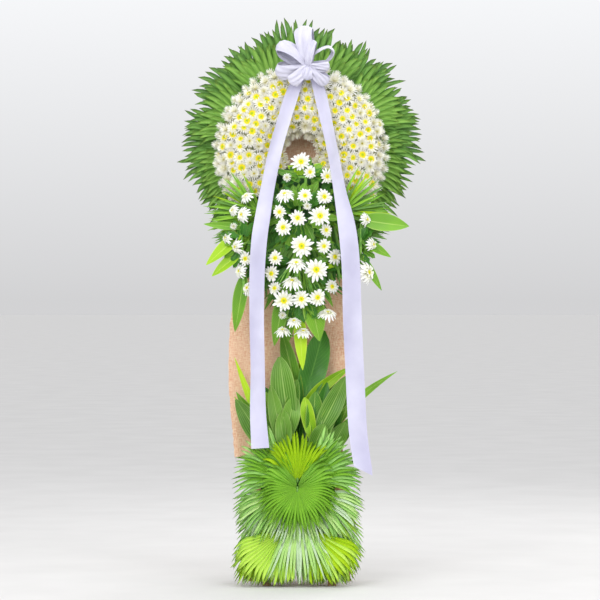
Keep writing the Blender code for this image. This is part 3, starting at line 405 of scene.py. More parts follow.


# the darkest palm green is a shaded copy for the back row's under fans: painted shade
palm_deep_shaded = palm_shade("palm_deep_shaded", (0.05, 0.155, 0.03), (0.15, 0.34, 0.065), (0.27, 0.47, 0.15))
palm_mid = palm_shade("palm_mid", (0.07, 0.21, 0.032), (0.2, 0.43, 0.07), (0.34, 0.57, 0.16))
palm_green = palm_shade("palm_green", (0.1, 0.275, 0.032), (0.27, 0.52, 0.08), (0.44, 0.67, 0.2))
palm_fresh = palm_shade("palm_fresh", (0.12, 0.36, 0.016), (0.31, 0.64, 0.04), (0.52, 0.82, 0.18))
palm_lime = palm_shade("palm_lime", (0.26, 0.5, 0.004), (0.52, 0.78, 0.008), (0.68, 0.86, 0.06))
palm_skirt = palm_shade("palm_skirt", (0.46, 0.82, 0.21), (0.73, 0.97, 0.4), (0.86, 0.99, 0.64), valley_shade=0.4)
palm_shadow = palm_shade("palm_shadow", (0.24, 0.54, 0.1), (0.48, 0.82, 0.22), (0.66, 0.9, 0.42), valley_shade=0.6)
palm_gold = palm_shade("palm_gold", (0.4, 0.72, 0.04), (0.64, 0.91, 0.11), (0.86, 0.98, 0.4), valley_shade=0.45)
# painted sheen: a pale, near-white copy of the green for skirt fingers that catch the light
palm_painted_sheen = palm_shade(
    "palm_painted_sheen", (0.6, 0.86, 0.45), (0.8, 0.97, 0.69), (0.96, 1.0, 0.93), roughness=0.24, valley_shade=0.35)
leaf_deep = leaf_shade("leaf_deep", (0.02, 0.11, 0.012), (0.07, 0.27, 0.02), (0.15, 0.38, 0.05))
leaf_mid = leaf_shade("leaf_mid", (0.055, 0.2, 0.01), (0.2, 0.45, 0.025), (0.46, 0.66, 0.14))
leaf_lime = leaf_shade("leaf_lime", (0.2, 0.44, 0.008), (0.48, 0.74, 0.012), (0.68, 0.84, 0.12))
leaf_ribbed = leaf_shade("leaf_ribbed", (0.05, 0.17, 0.012), (0.17, 0.38, 0.035), (0.42, 0.62, 0.16), True)
petal_white = petal_shade("petal_white", (0.8, 0.82, 0.5), (0.95, 0.95, 0.93))
petal_cream = petal_shade("petal_cream", (0.9, 0.88, 0.56), (0.99, 0.98, 0.95))
disc_yellow = disc_shade()
stem_green = stem_shade("stem_green", (0.1, 0.34, 0.03), (0.32, 0.6, 0.1))
# painted shade: petals in shadow, for the sheet that shows between the ring's heads
painted_shade_fill = stem_shade("painted_shade_fill", (0.12, 0.17, 0.04), (0.46, 0.46, 0.22))
# the lavender in these satin colours is a painted reflection on white satin; the last colour of each is
# painted shade
satin = satin_shade("satin_ribbon", (0.62, 0.61, 0.76), (0.68, 0.67, 0.82), (0.34, 0.32, 0.52))
satin_bow = satin_shade("satin_bow", (0.62, 0.61, 0.74), (0.74, 0.73, 0.84), (0.24, 0.22, 0.4))
burlap = burlap_shade()
foam = foam_shade()
SAWN_DARK, SAWN_LIGHT = (0.3, 0.17, 0.08), (0.52, 0.34, 0.18)
timber_up = wood_shade("timber_upright", "z", SAWN_DARK, SAWN_LIGHT)
timber_across = wood_shade("timber_across", "x", SAWN_DARK, SAWN_LIGHT)
plywood = wood_shade("plywood", "ply", (0.36, 0.22, 0.11), (0.56, 0.39, 0.22))

FLOWER = [petal_white, disc_yellow, stem_green]
PETAL, DISC, STEM, SHADE_FILL = 0, 1, 2, 3

# Flower heads


def petal(length, width, start, rise, curl, stations=5):
    """One petal along +X: rows of three points and their map."""
    rows, maps = [], []
    for k in range(stations + 1):
        t = k / stations
        swell = 0.42 + 0.58 * math.sin(math.pi * min(1.0, 0.12 + 0.8 * t))
        half = width / 2 * (swell if k < stations else 0.28)
        x = start + (length - start) * t
        z = rise * t + curl * t * t
        rows.append([(x, -half, z + half * 0.35), (x, 0.0, z), (x, half, z + half * 0.35)])
        maps.append([(0.0, t), (0.5, t), (1.0, t)])
    return np.array(rows), np.array(maps)


def head(seed, layers, disc, disc_rise, stations=5):
    """A head of radius 1 that faces +Z: layers of petals round a domed disc, with a green cup behind."""
    draw = random.Random(seed)
    made = Piece()
    for petals, reach, width, rise, curl, lift in layers:
        offset = draw.uniform(0, 6.28)
        for k in range(petals):
            turn = offset + 2 * math.pi * (k + draw.uniform(-0.22, 0.22)) / petals
            far = reach * draw.uniform(0.78, 1.08)
            rows, uv = petal(far, width * draw.uniform(0.85, 1.1), disc * 0.8,
                             rise + draw.uniform(-0.05, 0.05), curl + draw.uniform(-0.05, 0.05), stations)
            rows[:, :, 2] += lift
            flat, rising = math.cos(turn), math.sin(turn)
            spin = np.array([[flat, -rising, 0], [rising, flat, 0], [0, 0, 1]])
            made.grid(rows @ spin.T, PETAL, uv)
    # rings of the disc and of the cup: share of the way, radius and height
    florets = []
    for ring in range(5):
        share = ring / 4
        height = disc_rise * (1 - share ** 2) + 0.015 * math.cos(ring * 2.0)
        florets.append((share, disc * share, height + 0.04))
    cup = [(0.0, 0.34, -0.02), (0.5, 0.2, -0.16), (1.0, 0.06, -0.26)]
    for rings, sides, spread, slot in ((florets, 10, 1.0, DISC), (cup, 6, 6.28, STEM)):
        turns = round_turns(sides)
        rows = [[(radius * math.cos(t), radius * math.sin(t), z) for t in turns] for _, radius, z in rings]
        made.grid(rows, slot, [[(t / spread, share) for t in turns] for share, _, _ in rings])
    return made


# petals, reach, width, rise, curl and lift of each layer
MUM_LAYERS = [
    (16, 1.0, 0.17, 0.04, -0.06, 0.0), (14, 0.9, 0.16, 0.22, 0.04, 0.04), (11, 0.72, 0.14, 0.4, 0.12, 0.08),
]
BALL_LAYERS = [
    (16, 1.0, 0.17, 0.08, -0.02, 0.0), (14, 0.88, 0.16, 0.34, 0.08, 0.04), (11, 0.64, 0.15, 0.6, 0.12, 0.08),
    (7, 0.38, 0.13, 0.72, 0.16, 0.14),
]
DAISY_LAYERS = [
    (14, 1.0, 0.25, 0.02, -0.1, 0.0), (12, 0.86, 0.23, 0.13, -0.05, 0.03), (7, 0.56, 0.18, 0.24, 0.05, 0.05),
]
CAP_LAYERS = [
    (15, 1.0, 0.26, -0.02, -0.42, 0.0), (13, 0.86, 0.25, 0.16, -0.4, 0.04),
    (9, 0.55, 0.22, 0.32, -0.25, 0.07),
]
mum_heads = [head(10 + k, MUM_LAYERS, 0.38 + 0.035 * k, 0.12, 4) for k in range(5)]
ball_heads = [head(20 + k, BALL_LAYERS, 0.12, 0.3, 4) for k in range(4)]
daisy_heads = [head(30 + k, DAISY_LAYERS, 0.29, 0.1) for k in range(5)]
cap_heads = [head(40 + k, CAP_LAYERS, 0.18, 0.14) for k in range(4)]


def facing(centre, normal, spin, size):
    """The place of a head that faces along the normal."""
    turn = Vector(normal).to_track_quat("Z", "Y").to_matrix().to_4x4()
    return Matrix.Translation(centre) @ turn @ Matrix.Rotation(spin, 4, "Z") @ Matrix.Scale(size, 4)


# The ring of chrysanthemums


def ring_point(turn, radius, depth):
    """A point of the ring, from its angle, its distance from the middle and its depth."""
    return Vector((RING_X + radius * math.cos(turn), depth, RING_Z + radius * math.sin(turn)))


def dome(around):
    """Radius and rise of the cushion at an angle round its section, from its outer to its inner edge."""
    rise = RING_DOME * math.sin(around) ** 0.85 if 0 < around < math.pi else 0.0
    return RING_MID + RING_HALF * math.cos(around), 0.012 + rise


def dome_normal(around):
    near, far = dome(max(0.02, around - 0.02)), dome(min(math.pi - 0.02, around + 0.02))
    along = Vector((far[0] - near[0], far[1] - near[1]))
    return Vector((along.y, -along.x)).normalized()


def ring_rows(spacing):
    """Angles round the section that lie an even distance apart over the cushion."""
    first, final, steps = 0.26, 3.0, 399
    angles, run, last = [first], 0.0, dome(first)
    for k in range(1, steps + 1):
        around = first + (final - first) * k / steps
        here = dome(around)
        run += math.hypot(here[0] - last[0], here[1] - last[1])
        last = here
        if run >= spacing:
            angles.append(around)
            run = 0.0
    return angles


def mum_sector(index):
    """One bunch of the ring: rows of heads over the cushion, each in its own direction."""
    piece = Piece()
    start = math.radians(-45.0) + index * RING_SECTOR
    draw = random.Random(700 + index)
    # the imported backs of the heads, just under them: a sheet coloured as petals in painted shade, showing
    # in the gaps between heads
    margin, along, across = 0.004, 8, 16
    rows, maps = [], []
    for step in range(along + 1):
        turn = start + margin + (RING_SECTOR - 2 * margin) * step / along
        row = [ring_point(turn, RING_MID + RING_HALF * 0.985, FOAM_BACK)]
        for k in range(across + 1):
            radius, rise = dome(math.pi * k / across)
            inner = RING_MID + (radius - RING_MID) * 0.97
            row.append(ring_point(turn, inner, FOAM_BACK - max(0.0, rise - 0.006)))
        rows.append(row)
        maps.append([(k / (across + 1), step / along) for k in range(len(row))])
    piece.grid(rows, SHADE_FILL, maps, 0.4)
    for side in (rows[0], rows[-1]):
        middle = ring_point(start if side is rows[0] else start + RING_SECTOR, RING_MID, FOAM_BACK)
        ends = [[(0, 0)] * len(side), [(0, 1)] * len(side)]
        piece.grid([side, [middle] * len(side)], SHADE_FILL, ends, 0.4)
    for row, around in enumerate(ring_rows(HEAD_ROW_GAP)):
        radius, rise = dome(around)
        outward = dome_normal(around)
        count = max(1, round(radius * RING_SECTOR / HEAD_GAP))
        for k in range(count):
            shift = 0.25 if row % 2 else -0.25
            turn = start + RING_SECTOR * (k + 0.5 + shift * (count > 1)) / count
            edge = 0.014 / radius
            turn = min(max(turn + draw.uniform(-0.2, 0.2) * RING_SECTOR / count, start + edge),
                       start + RING_SECTOR - edge)
            normal = Vector((outward.x * math.cos(turn), -outward.y, outward.x * math.sin(turn)))
            lean = Vector([draw.uniform(-0.28, 0.28) for _ in range(3)])
            centre = ring_point(turn, radius, FOAM_BACK - rise) + normal * draw.uniform(0.0, 0.005)
            steep = around < 0.75
            closed = 0.85 if steep else (0.4 if around < 1.05 or around > 2.3 else 0.12)
            kinds = ball_heads if draw.random() < closed else mum_heads
            size = (0.025 if around > 0.5 else 0.0215) * draw.uniform(0.86, 1.08)
            # the inner rows, where the dome turns down into the hole, are creamier: partly older petals,
            # partly painted shade
            cream = max(0.0, (around - 1.7) / 1.1) + draw.uniform(-0.05, 0.15)
            place = facing(centre, (normal + lean).normalized(), draw.uniform(0, 6.28), size)
            piece.place(draw.choice(kinds), place, unit(cream))
    name = "mums_%d" % (index + 1)
    piece.build(name + "_heads", [name], [petal_cream, disc_yellow, stem_green, painted_shade_fill])


# Fan palm leaves


def fan(piece, hub, heading, spread, fingers, length_of, depth_of, notch, pleat, seed, slot, shade,
        bow=0.006, stations=14, sag=0.0, root=0.03):
    """A pleated fan whose fingers part beyond the notch and end in bent, pointed tips."""
    draw = random.Random(seed)
    hub = Vector(hub)
    half_turn = spread / fingers / 2
    for f in range(fingers):
        centre = heading + spread * ((f + 0.5) / fingers - 0.5)
        full = length_of(centre)
        reach = full * draw.uniform(0.89, 1.03)
        split = full * notch * draw.uniform(0.92, 1.05)
        swing = draw.uniform(-0.05, 0.05) * reach
        droop = draw.uniform(-bow, bow * 1.4)
        tint = unit(shade + draw.uniform(-0.28, 0.28))
        own = slot if isinstance(slot, int) else draw.choice(slot)
        points, maps = [], []
        for k in range(stations + 1):
            t = k / stations
            radius = reach * (root + (1 - root) * t)
            past = max(0.0, (radius - split) / (reach - split))
            wide = half_turn * min(radius, split) * (1 - past) ** 0.55 * (1 + 0.35 * past)
            way = flat_way(centre)
            side = Vector((-way.z, 0.0, way.x))
            middle = hub + way * radius + side * swing * past ** 2
            middle.z -= sag * abs(way.x) * past ** 2
            fold = pleat * min(1.0, radius / 0.08) * (1 - 0.55 * past)
            for u in (-1.0, -0.5, 0.0, 0.5, 1.0):
                spot = middle + side * wide * u
                if past == 0.0:
                    turn = centre + half_turn * u
                    spot = hub + flat_way(turn) * radius
                spot.y = hub.y + depth_of(middle) + fold * (1 - 2 * abs(u)) - droop * past ** 2
                spot.z = max(spot.z, 0.003)
                points.append(spot)
                maps.append((f + 0.5 + u / 2, t))
        piece.grid(points, own, maps, tint, 5)


def back_palm(name, turn, half, fingers, layer_y, outer, seed, materials, over):
    """A palm leaf pinned behind the ring, kept in its own wedge, with shorter blades over its outer half."""
    hub_r = 0.15
    hub = ring_point(turn, hub_r, layer_y)

    def length_of(way):
        off = abs(math.atan2(math.sin(way - turn), math.cos(way - turn)))
        circle = -hub_r * math.cos(off) + math.sqrt(outer ** 2 - (hub_r * math.sin(off)) ** 2)
        slope = math.sin(off - half)
        side = hub_r * math.sin(half) / slope if slope > 0.01 else circle
        return min(circle, side)

    def depth_of(spot):
        far = math.hypot(spot.x - RING_X, spot.z - RING_Z)
        return 0.015 * max(0.0, (far - FOAM_OUT - 0.01) / 0.18) ** 2

    def forward(spot):
        far = math.hypot(spot.x - RING_X, spot.z - RING_Z)
        return depth_of(spot) - 0.001 - 0.16 * max(0.0, far - 0.262)

    piece = Piece()
    spread = 2 * (half + math.radians(38.0))
    # painted shade: the fan under the blades takes the first, darker green
    fan(piece, hub, turn, spread, fingers, length_of, depth_of, 0.76, 0.0034, seed, 0, 0.5, 0.006, sag=0.012)
    # painted light: the blades over the fan take the second, lighter green
    for k, share in enumerate(over):
        fan(piece, hub + Vector((0, -0.0008 * k, 0)), turn + 0.03 - 0.05 * k, spread, fingers - 3 - k,
            lambda way: length_of(way) * share, forward, 0.7, 0.0032, seed + 40 + k, 1, 0.45 + 0.25 * k,
            0.008, sag=0.016)
    piece.build(name + "_leaf", [name], materials)


def back_palms():
    """The two rows of palm leaves behind the ring, the front row half a step round from the back one."""
    first, last, count = -26.0, 214.0, 7
    step = (last - first) / (count - 1)
    half = math.radians(step / 2 - 0.45)
    for k in range(count):
        turn = math.radians(first + step * k)
        outer = (0.425 if k % 2 else 0.416) * (0.945 + 0.105 * math.sin(turn))
        # painted shade and light: the back row takes darker greens than the front row, save for the two
        # lowest back leaves
        back_palm("palm_back_%d" % (k + 1), turn, half, 24, BACK_FAN_Y, outer, 200 + k,
                  [palm_mid, palm_green] if k in (0, 6) else [palm_deep_shaded, palm_mid], [0.93])
    for k in range(count - 1):
        turn = math.radians(first + step * (k + 0.5))
        outer = (0.404 if k % 2 else 0.396) * (0.955 + 0.085 * math.sin(turn))
        back_palm("palm_ring_%d" % (k + 1), turn, half, 22, FRONT_FAN_Y, outer, 230 + k,
                  [palm_mid, palm_green], [0.9, 0.8])


def petiole(piece, hub, heading, stem, slot):
    """The stalk from a fan's hub to its end in the foam."""
    way = flat_way(heading)
    hub = Vector(hub)
    piece.tube([hub + way * 0.01, hub, hub - way * 0.004] + stem, 0.0036, slot)


# Broad leaves and blades


def broad_leaf(piece, base, way, face, length, width, bend, slot, shade, seed,
               lobes=0.0, wave=0.06, sway=None, blunt=0.0):
    """A leaf with a creased midrib, a swelling outline, a gentle wave and a bent tip."""
    draw = random.Random(seed)
    way, face = Vector(way).normalized(), Vector(face)
    face = (face - way * face.dot(way)).normalized()
    side = way.cross(face)
    stations = 16 if lobes else 12
    phase = draw.uniform(0, 6.28)
    swing = draw.uniform(-0.04, 0.04) if sway is None else sway
    shares = (-1.0, -0.66, -0.33, 0.0, 0.33, 0.66, 1.0)
    points, maps = [], []
    for k in range(stations + 1):
        t = k / stations
        swell = math.sin(math.pi * min(1.0, 0.06 + 0.94 * t) ** (0.85 + 0.5 * blunt))
        half = width / 2 * max(0.1, max(0.0, swell) ** (0.8 - 0.3 * blunt))
        if k == stations:
            half = width * (0.015 + 0.06 * blunt)
        if lobes:
            half *= 1.0 - lobes * (0.5 + 0.5 * math.cos(2 * math.pi * 3.0 * t + 0.6)) * (0.15 < t < 0.98)
        mid = Vector(base) + way * length * t - face * length * bend * t * t + side * length * swing * t * t
        for u in shares:
            ripple = wave * half * math.sin(phase + 9 * t + (2.0 if u > 0 else 0.0)) * abs(u)
            points.append(mid + side * half * u + face * (half * 0.3 * abs(u) + ripple))
            maps.append((u, t))
    piece.grid(points, slot, maps, unit(shade + draw.uniform(-0.38, 0.38)), len(shares))


def blades(piece, base, heading, spread, count, length, seed, slots, width=0.008, tilt=0.0, curl=0.0):
    """Thin palm blades that spread from a point, by degrees, and curl away from its middle."""
    draw = random.Random(seed)
    heading, spread = math.radians(heading), math.radians(spread)
    for k in range(count):
        share = (k + 0.5) / count - 0.5
        turn = heading + spread * share + draw.uniform(-0.05, 0.05)
        way = Vector((math.cos(turn), tilt + draw.uniform(-0.1, 0.06), math.sin(turn)))
        far = length * draw.uniform(0.75, 1.0)
        start = Vector(base) + Vector((draw.uniform(-0.012, 0.012), draw.uniform(-0.006, 0.006), 0))
        sway = curl * share + draw.uniform(-0.05, 0.05)
        broad_leaf(piece, start, way, (0.1, -1.0, 0.2), far, width * draw.uniform(0.75, 1.2),
                   draw.uniform(-0.02, 0.12), draw.choice(slots), draw.uniform(0.2, 0.8), seed * 90 + k,
                   wave=0.0, sway=sway)


def side_palms():
    """The narrow-fingered leaf at each lower side of the ring."""
    fresh, stem_slot, lime, mid = 0, 1, 2, 3
    for side, sign in (("left", -1), ("right", 1)):
        piece = Piece()
        hub, heading = (sign * 0.138, -0.163, 1.204), 90 - 66 * sign
        blades(piece, hub, heading, 104, 19, 0.164, 260 + sign, [fresh, fresh, fresh, mid, lime],
               0.0088, -0.06, 0.35)
        turned = heading + math.degrees(0.1) * sign
        blades(piece, hub, turned, 96, 10, 0.125, 264 + sign, [fresh, mid], 0.008, -0.16, 0.25)
        blades(piece, hub, 90 - 108 * sign, 76, 26, 0.17, 268 + sign, [fresh, mid, mid], 0.01, 0.06, 0.2)
        stem = [Vector((sign * x, y, z)) for x, y, z in
                ((0.112, -0.126, 1.198), (0.09, -0.11, 1.196), (0.07, -0.11, 1.196))]
        petiole(piece, hub, math.radians(heading), stem, stem_slot)
        materials = [palm_fresh, stem_green, palm_lime, palm_mid]
        piece.build("side_palm_%s_leaf" % side, ["side_palm_" + side], materials)


# Sprays of daisies

# x, z, depth and radius of each head, and how far it looks aside and up
TOP_DAISIES = [
    (0.005, 1.364, -0.172, 0.03, 0.0, 0.1), (0.034, 1.33, -0.192, 0.021, 0.2, -0.1),
    (0.09, 1.317, -0.167, 0.024, 0.3, -0.1), (-0.04, 1.312, -0.182, 0.014, -0.2, 0.3),
]
MIDDLE_DAISIES = [
    (-0.048, 1.258, -0.215, 0.03, -0.3, 0.5), (0.018, 1.252, -0.225, 0.024, 0.1, 0.2),
    (0.08, 1.25, -0.195, 0.026, 0.3, 0.1), (0.025, 1.218, -0.232, 0.014, 0.0, 0.0),
    (-0.006, 1.18, -0.236, 0.026, 0.0, 0.1), (0.066, 1.187, -0.222, 0.033, 0.1, 0.1),
    (-0.064, 1.2, -0.212, 0.022, -0.3, 0.0), (-0.052, 1.15, -0.222, 0.028, -0.3, 0.1),
    (0.086, 1.142, -0.2, 0.022, 0.5, 0.1),
]
TAIL_DAISIES = [
    (0.007, 1.09, -0.222, 0.035, 0.0, 0.1), (0.079, 1.09, -0.205, 0.023, 0.2, 0.0),
    (0.114, 1.056, -0.18, 0.026, 0.6, 0.1), (-0.01, 1.036, -0.226, 0.03, 0.0, 0.5),
    (-0.078, 1.052, -0.195, 0.024, -0.2, 0.1), (-0.09, 1.002, -0.185, 0.026, -0.4, 0.0),
    (0.054, 1.014, -0.215, 0.036, 0.1, 0.1), (-0.024, 0.978, -0.218, 0.033, 0.0, 0.8),
    (-0.08, 0.955, -0.18, 0.022, -0.3, 0.2), (0.105, 0.96, -0.172, 0.024, 0.5, 0.2),
    (-0.05, 0.915, -0.2, 0.034, -0.1, 0.0), (0.006, 0.92, -0.212, 0.028, 0.1, 0.1),
    (0.058, 0.925, -0.2, 0.028, 0.2, 0.1), (0.092, 0.876, -0.172, 0.03, 0.2, 0.8),
    (-0.054, 0.868, -0.18, 0.013, 0.0, 0.0), (-0.054, 0.82, -0.176, 0.025, -0.1, 0.8),
    (-0.018, 0.85, -0.192, 0.024, 0.0, 0.6), (0.012, 0.816, -0.178, 0.027, 0.1, 0.8),
]
LEFT_DAISIES = [
    (-0.172, 1.252, -0.19, 0.024, -1.0, 0.6), (-0.216, 1.206, -0.186, 0.02, -1.4, 0.4),
    (-0.212, 1.154, -0.19, 0.012, -0.3, 0.0), (-0.238, 1.118, -0.184, 0.022, -1.5, 0.3),
    (-0.206, 1.088, -0.2, 0.025, -1.4, -0.2), (-0.174, 1.05, -0.196, 0.024, -0.4, 0.0),
    (-0.194, 1.01, -0.19, 0.024, -1.3, 0.2), (-0.168, 0.956, -0.186, 0.026, -0.9, 0.4),
    (-0.186, 1.192, -0.206, 0.026, -0.9, 0.2),
]
RIGHT_DAISIES = [
    (0.218, 1.176, -0.19, 0.024, 1.3, 0.3), (0.238, 1.096, -0.186, 0.024, 1.2, 0.2),
    (0.222, 1.006, -0.19, 0.038, 1.3, 0.2),
]
SPRAY = FLOWER + [leaf_deep, leaf_mid, leaf_lime, palm_mid, palm_fresh]
L_DEEP, L_MID, L_LIME, L_BLADE, L_FRESH = 3, 4, 5, 6, 7


def nearest_on(spine, spot):
    """The point of a stem that lies nearest to a spot."""
    best = None
    for first, second in zip(spine, spine[1:]):
        first, second = Vector(first), Vector(second)
        run = second - first
        share = unit((spot - first).dot(run) / run.length_squared)
        near = first + run * share
        if best is None or (near - spot).length < (best - spot).length:
            best = near
    return best


def daisies(piece, spine, heads, seed):
    """The loose heads, each on a curved stem that branches from the main one."""
    draw = random.Random(seed)
    for x, z, depth, radius, aside, up in heads:
        side_on = up >= 0.5 or abs(aside) >= 0.9
        normal = Vector((aside, -1.0, up * 2.4 if up >= 0.5 else up)).normalized()
        spot = Vector((x, depth, z))
        kinds = cap_heads if side_on else (ball_heads if radius < 0.018 else daisy_heads)
        piece.place(draw.choice(kinds), facing(spot, normal, draw.uniform(0, 6.28), radius * 1.12),
                    draw.uniform(0.0, 0.12))
        back = spot - normal * radius * 0.22
        root = nearest_on(spine, spot + Vector((0.0, 0.0, -0.015)))
        middle = (back + root) / 2 - normal * radius * 0.4 + Vector((0, 0, draw.uniform(-0.004, 0.004)))
        path = smooth_path([back, middle, root], 3)
        piece.tube([Vector(p) for p in path], (0.0015, 0.0021), STEM)


def thicket(piece, centre, radii, count, seed, length, width, low=-1.0, high=1.0, lime=0.03):
    """Cut leaves that stand out all round a core."""
    draw = random.Random(seed)
    for k in range(count):
        turn = GOLDEN_TURN * k + draw.uniform(-0.3, 0.3)
        front = draw.uniform(0.0, 0.6)
        tilt = math.sqrt(1 - front * front)
        way = Vector((math.cos(turn) * tilt, -front, math.sin(turn) * tilt))
        if not low <= way.z <= high:
            way.z = -way.z
        base = Vector(centre) + Vector((way.x * radii[0], way.y * radii[1], way.z * radii[2])) * 0.6
        way.y *= 0.35
        face = Vector((draw.uniform(-0.3, 0.3), -1.0, 0.5))
        slot = L_MID if draw.random() < 0.35 else L_DEEP
        slot = L_LIME if draw.random() < lime else slot
        broad_leaf(piece, base, way + Vector((0, 0, -0.15)), face, length * draw.uniform(0.7, 1.1),
                   width * draw.uniform(0.8, 1.2), draw.uniform(0.05, 0.35), slot, 0.5, seed * 50 + k, 0.34)


def spray(name, spine, heads, seed, thickets, leaves, leaf_seed, fans, covers, stem):
    """A spray: its heads, rows of what thicket, broad_leaf, blades and foam_cover take, and its stem."""
    piece = Piece()
    daisies(piece, spine, heads, seed)
    for row in thickets:
        thicket(piece, *row)
    for k, leaf in enumerate(leaves):
        broad_leaf(piece, *leaf, leaf_seed + k)
    for row in fans:
        blades(piece, *row)
    for row in covers:
        foam_cover(piece, *row)
    for path in (stem, spine):
        piece.tube(path, 0.005, STEM)
    piece.build(name + "_fine", [name], SPRAY)


def sprays():
    grass, dark_grass = [L_BLADE, L_BLADE, L_FRESH], [L_BLADE, L_DEEP]
    mixed_grass = [L_BLADE, L_DEEP, L_FRESH]
    pinned = (L_DEEP, L_DEEP, L_MID)
    block_sides = [((-0.0905, -0.128, 0.0), (0.0, 0.054, 0.0), (-1, 0, 0), 2),
                   ((0.0905, -0.074, 0.0), (0.0, -0.054, 0.0), (1, 0, 0), 2)]
    block_back = [((-0.09, -0.0749, 0.0), (0.18, 0.0, 0.0), (0, 1, 0), 5)]
    spray(
        "spray_middle", [(0.0, -0.16, 1.235), (0.0, -0.165, 1.19), (0.0, -0.16, 1.145)], MIDDLE_DAISIES, 300,
        [((0.0, -0.165, 1.19), (0.074, 0.03, 0.06), 46, 31, 0.075, 0.034),
         ((0.0, -0.158, 1.19), (0.07, 0.02, 0.055), 22, 33, 0.09, 0.036)], [], 0, [],
        [(block_sides, 62, 1.1, 5, 1.15, 0.028, 0.07, pinned),
         (block_back, 63, 1.1, 2, 1.15, 0.024, 0.07, pinned)],
        [(0.0, -0.165, 1.19), (0.0, BLOCK_FRONT, 1.19), (0.0, BLOCK_FRONT + 0.02, 1.19)],
    )
    spray(
        "spray_top", [(-0.03, -0.158, 1.316), (0.07, -0.156, 1.314)], TOP_DAISIES, 330,
        [((0.02, -0.156, 1.314), (0.05, 0.014, 0.02), 20, 34, 0.052, 0.026, -0.2, 1.0, 0.3)]
        + [((0.066 * sign, -0.128, 1.248), (0.03, 0.012, 0.03), 18, 57 + sign, 0.06, 0.03)
           for sign in (-1, 1)],
        [((0.06, -0.156, 1.314), (1.0, -0.1, 0.5), (0.1, -1, 0.3), 0.06, 0.022, 0.1, L_MID, 0.5),
         ((-0.02, -0.158, 1.315), (-1.0, -0.1, 0.4), (0.1, -1, 0.3), 0.07, 0.022, 0.1, L_MID, 0.5),
         ((0.0, -0.16, 1.3), (-0.8, -0.2, 0.7), (0.1, -1, 0.3), 0.06, 0.026, 0.2, L_MID, 0.4),
         ((0.04, -0.16, 1.3), (0.8, -0.2, 0.6), (0.1, -1, 0.3), 0.06, 0.026, 0.2, L_MID, 0.6)], 1, [], [],
        [(0.02, -0.156, 1.314), (0.02, -0.146, 1.262), (0.02, BLOCK_FRONT + 0.02, 1.262)],
    )
    low_grass = [(sign * 0.085, -0.142, 1.2) for sign in (-1, 1)]
    spray(
        "spray_tail", [(0.0, -0.15, 1.08), (0.0, -0.156, 1.03), (0.0, -0.152, 0.93), (-0.01, -0.14, 0.8)],
        TAIL_DAISIES, 360,
        [((0.0, -0.156, 1.03), (0.078, 0.03, 0.056), 44, 35, 0.074, 0.034, -1.0, 0.4),
         ((0.0, -0.152, 0.93), (0.058, 0.02, 0.05), 26, 36, 0.06, 0.028, -1.0, 0.4)],
        [((-0.045, -0.15, 0.95), (-0.2, 0.02, -1.0), (-0.2, -1, 0), 0.185, 0.052, 0.02, L_MID, 0.9),
         ((0.03, -0.15, 0.95), (0.22, 0.02, -1.0), (0.2, -1, 0), 0.17, 0.074, 0.03, L_MID, 0.8),
         ((0.0, -0.146, 0.88), (0.03, 0.0, -1.0), (0, -1, 0), 0.19, 0.042, 0.0, L_LIME, 0.7),
         ((0.055, -0.15, 1.0), (0.5, 0.1, -1.0), (0.2, -1, 0), 0.12, 0.022, 0.05, L_MID, 0.3),
         ((-0.055, -0.15, 1.0), (-0.5, 0.1, -1.0), (-0.2, -1, 0), 0.13, 0.02, 0.05, L_MID, 0.3),
         ((-0.02, -0.14, 0.93), (-0.12, 0.03, -1.0), (-0.3, -1, 0), 0.15, 0.04, 0.02, L_MID, 0.4)], 60,
        [((0.0, -0.146, 1.12), 270, 150, 64, 0.235, 41, grass, 0.01, 0.05, -0.3),
         ((0.0, -0.15, 1.04), 270, 110, 40, 0.19, 47, dark_grass, 0.011, 0.04, -0.2),
         ((0.03, -0.146, 1.15), -62, 60, 34, 0.235, 48, mixed_grass, 0.011, 0.05, 0.1),
         ((-0.03, -0.146, 1.15), 242, 60, 34, 0.235, 49, mixed_grass, 0.011, 0.05, 0.1),
         (low_grass[0], 267, 26, 24, 0.245, 52, [L_BLADE, L_FRESH, L_DEEP], 0.011, 0.05, 0.1),
         (low_grass[1], 273, 26, 24, 0.245, 54, [L_BLADE, L_FRESH, L_DEEP], 0.011, 0.05, 0.1),
         ((0.0, -0.168, 1.06), 270, 80, 26, 0.17, 42, [STEM], 0.0032),
         ((0.0, -0.196, 1.075), 270, 66, 30, 0.165, 58, [STEM, STEM, L_FRESH], 0.003, 0.1)], [],
        [(0.0, -0.15, 1.08), (0.0, BLOCK_FRONT + 0.022, 1.09), (0.0, BLOCK_FRONT + 0.022, 1.13)],
    )
    spray(
        "spray_left", [(-0.19, -0.182, 1.16), (-0.186, -0.182, 1.09), (-0.178, -0.176, 0.94)],
        LEFT_DAISIES, 400, [((-0.185, -0.182, 1.095), (0.03, 0.014, 0.06), 26, 37, 0.056, 0.026)],
        [((-0.19, -0.182, 1.13), (-1.0, -0.05, -0.9), (-0.3, -1, 0.2), 0.15, 0.044, 0.02, L_LIME, 0.3),
         ((-0.19, -0.182, 1.07), (-0.75, -0.05, -0.6), (-0.3, -1, 0.2), 0.12, 0.038, 0.05, L_LIME, 0.2),
         ((-0.19, -0.184, 1.15), (-1.0, -0.1, 0.1), (-0.3, -1, 0.2), 0.12, 0.026, 0.0, L_MID, 0.8),
         ((-0.178, -0.176, 1.0), (-0.15, 0.1, -1.0), (-0.3, -1, 0.0), 0.19, 0.048, 0.05, L_MID, 0.9)], 80,
        [((-0.12, -0.15, 1.17), 214, 100, 56, 0.175, 43, grass, 0.01, 0.04, 0.2),
         ((-0.15, -0.16, 1.13), 232, 110, 44, 0.13, 45, [L_BLADE, L_FRESH], 0.01, 0.02, 0.2),
         ((-0.11, -0.15, 1.1), 262, 50, 26, 0.19, 51, dark_grass, 0.011, 0.03, 0.1)], [],
        [(-0.185, -0.182, 1.095), (-0.12, -0.13, 1.12), (-0.11, -0.115, 1.14), (-0.07, -0.115, 1.14)],
    )
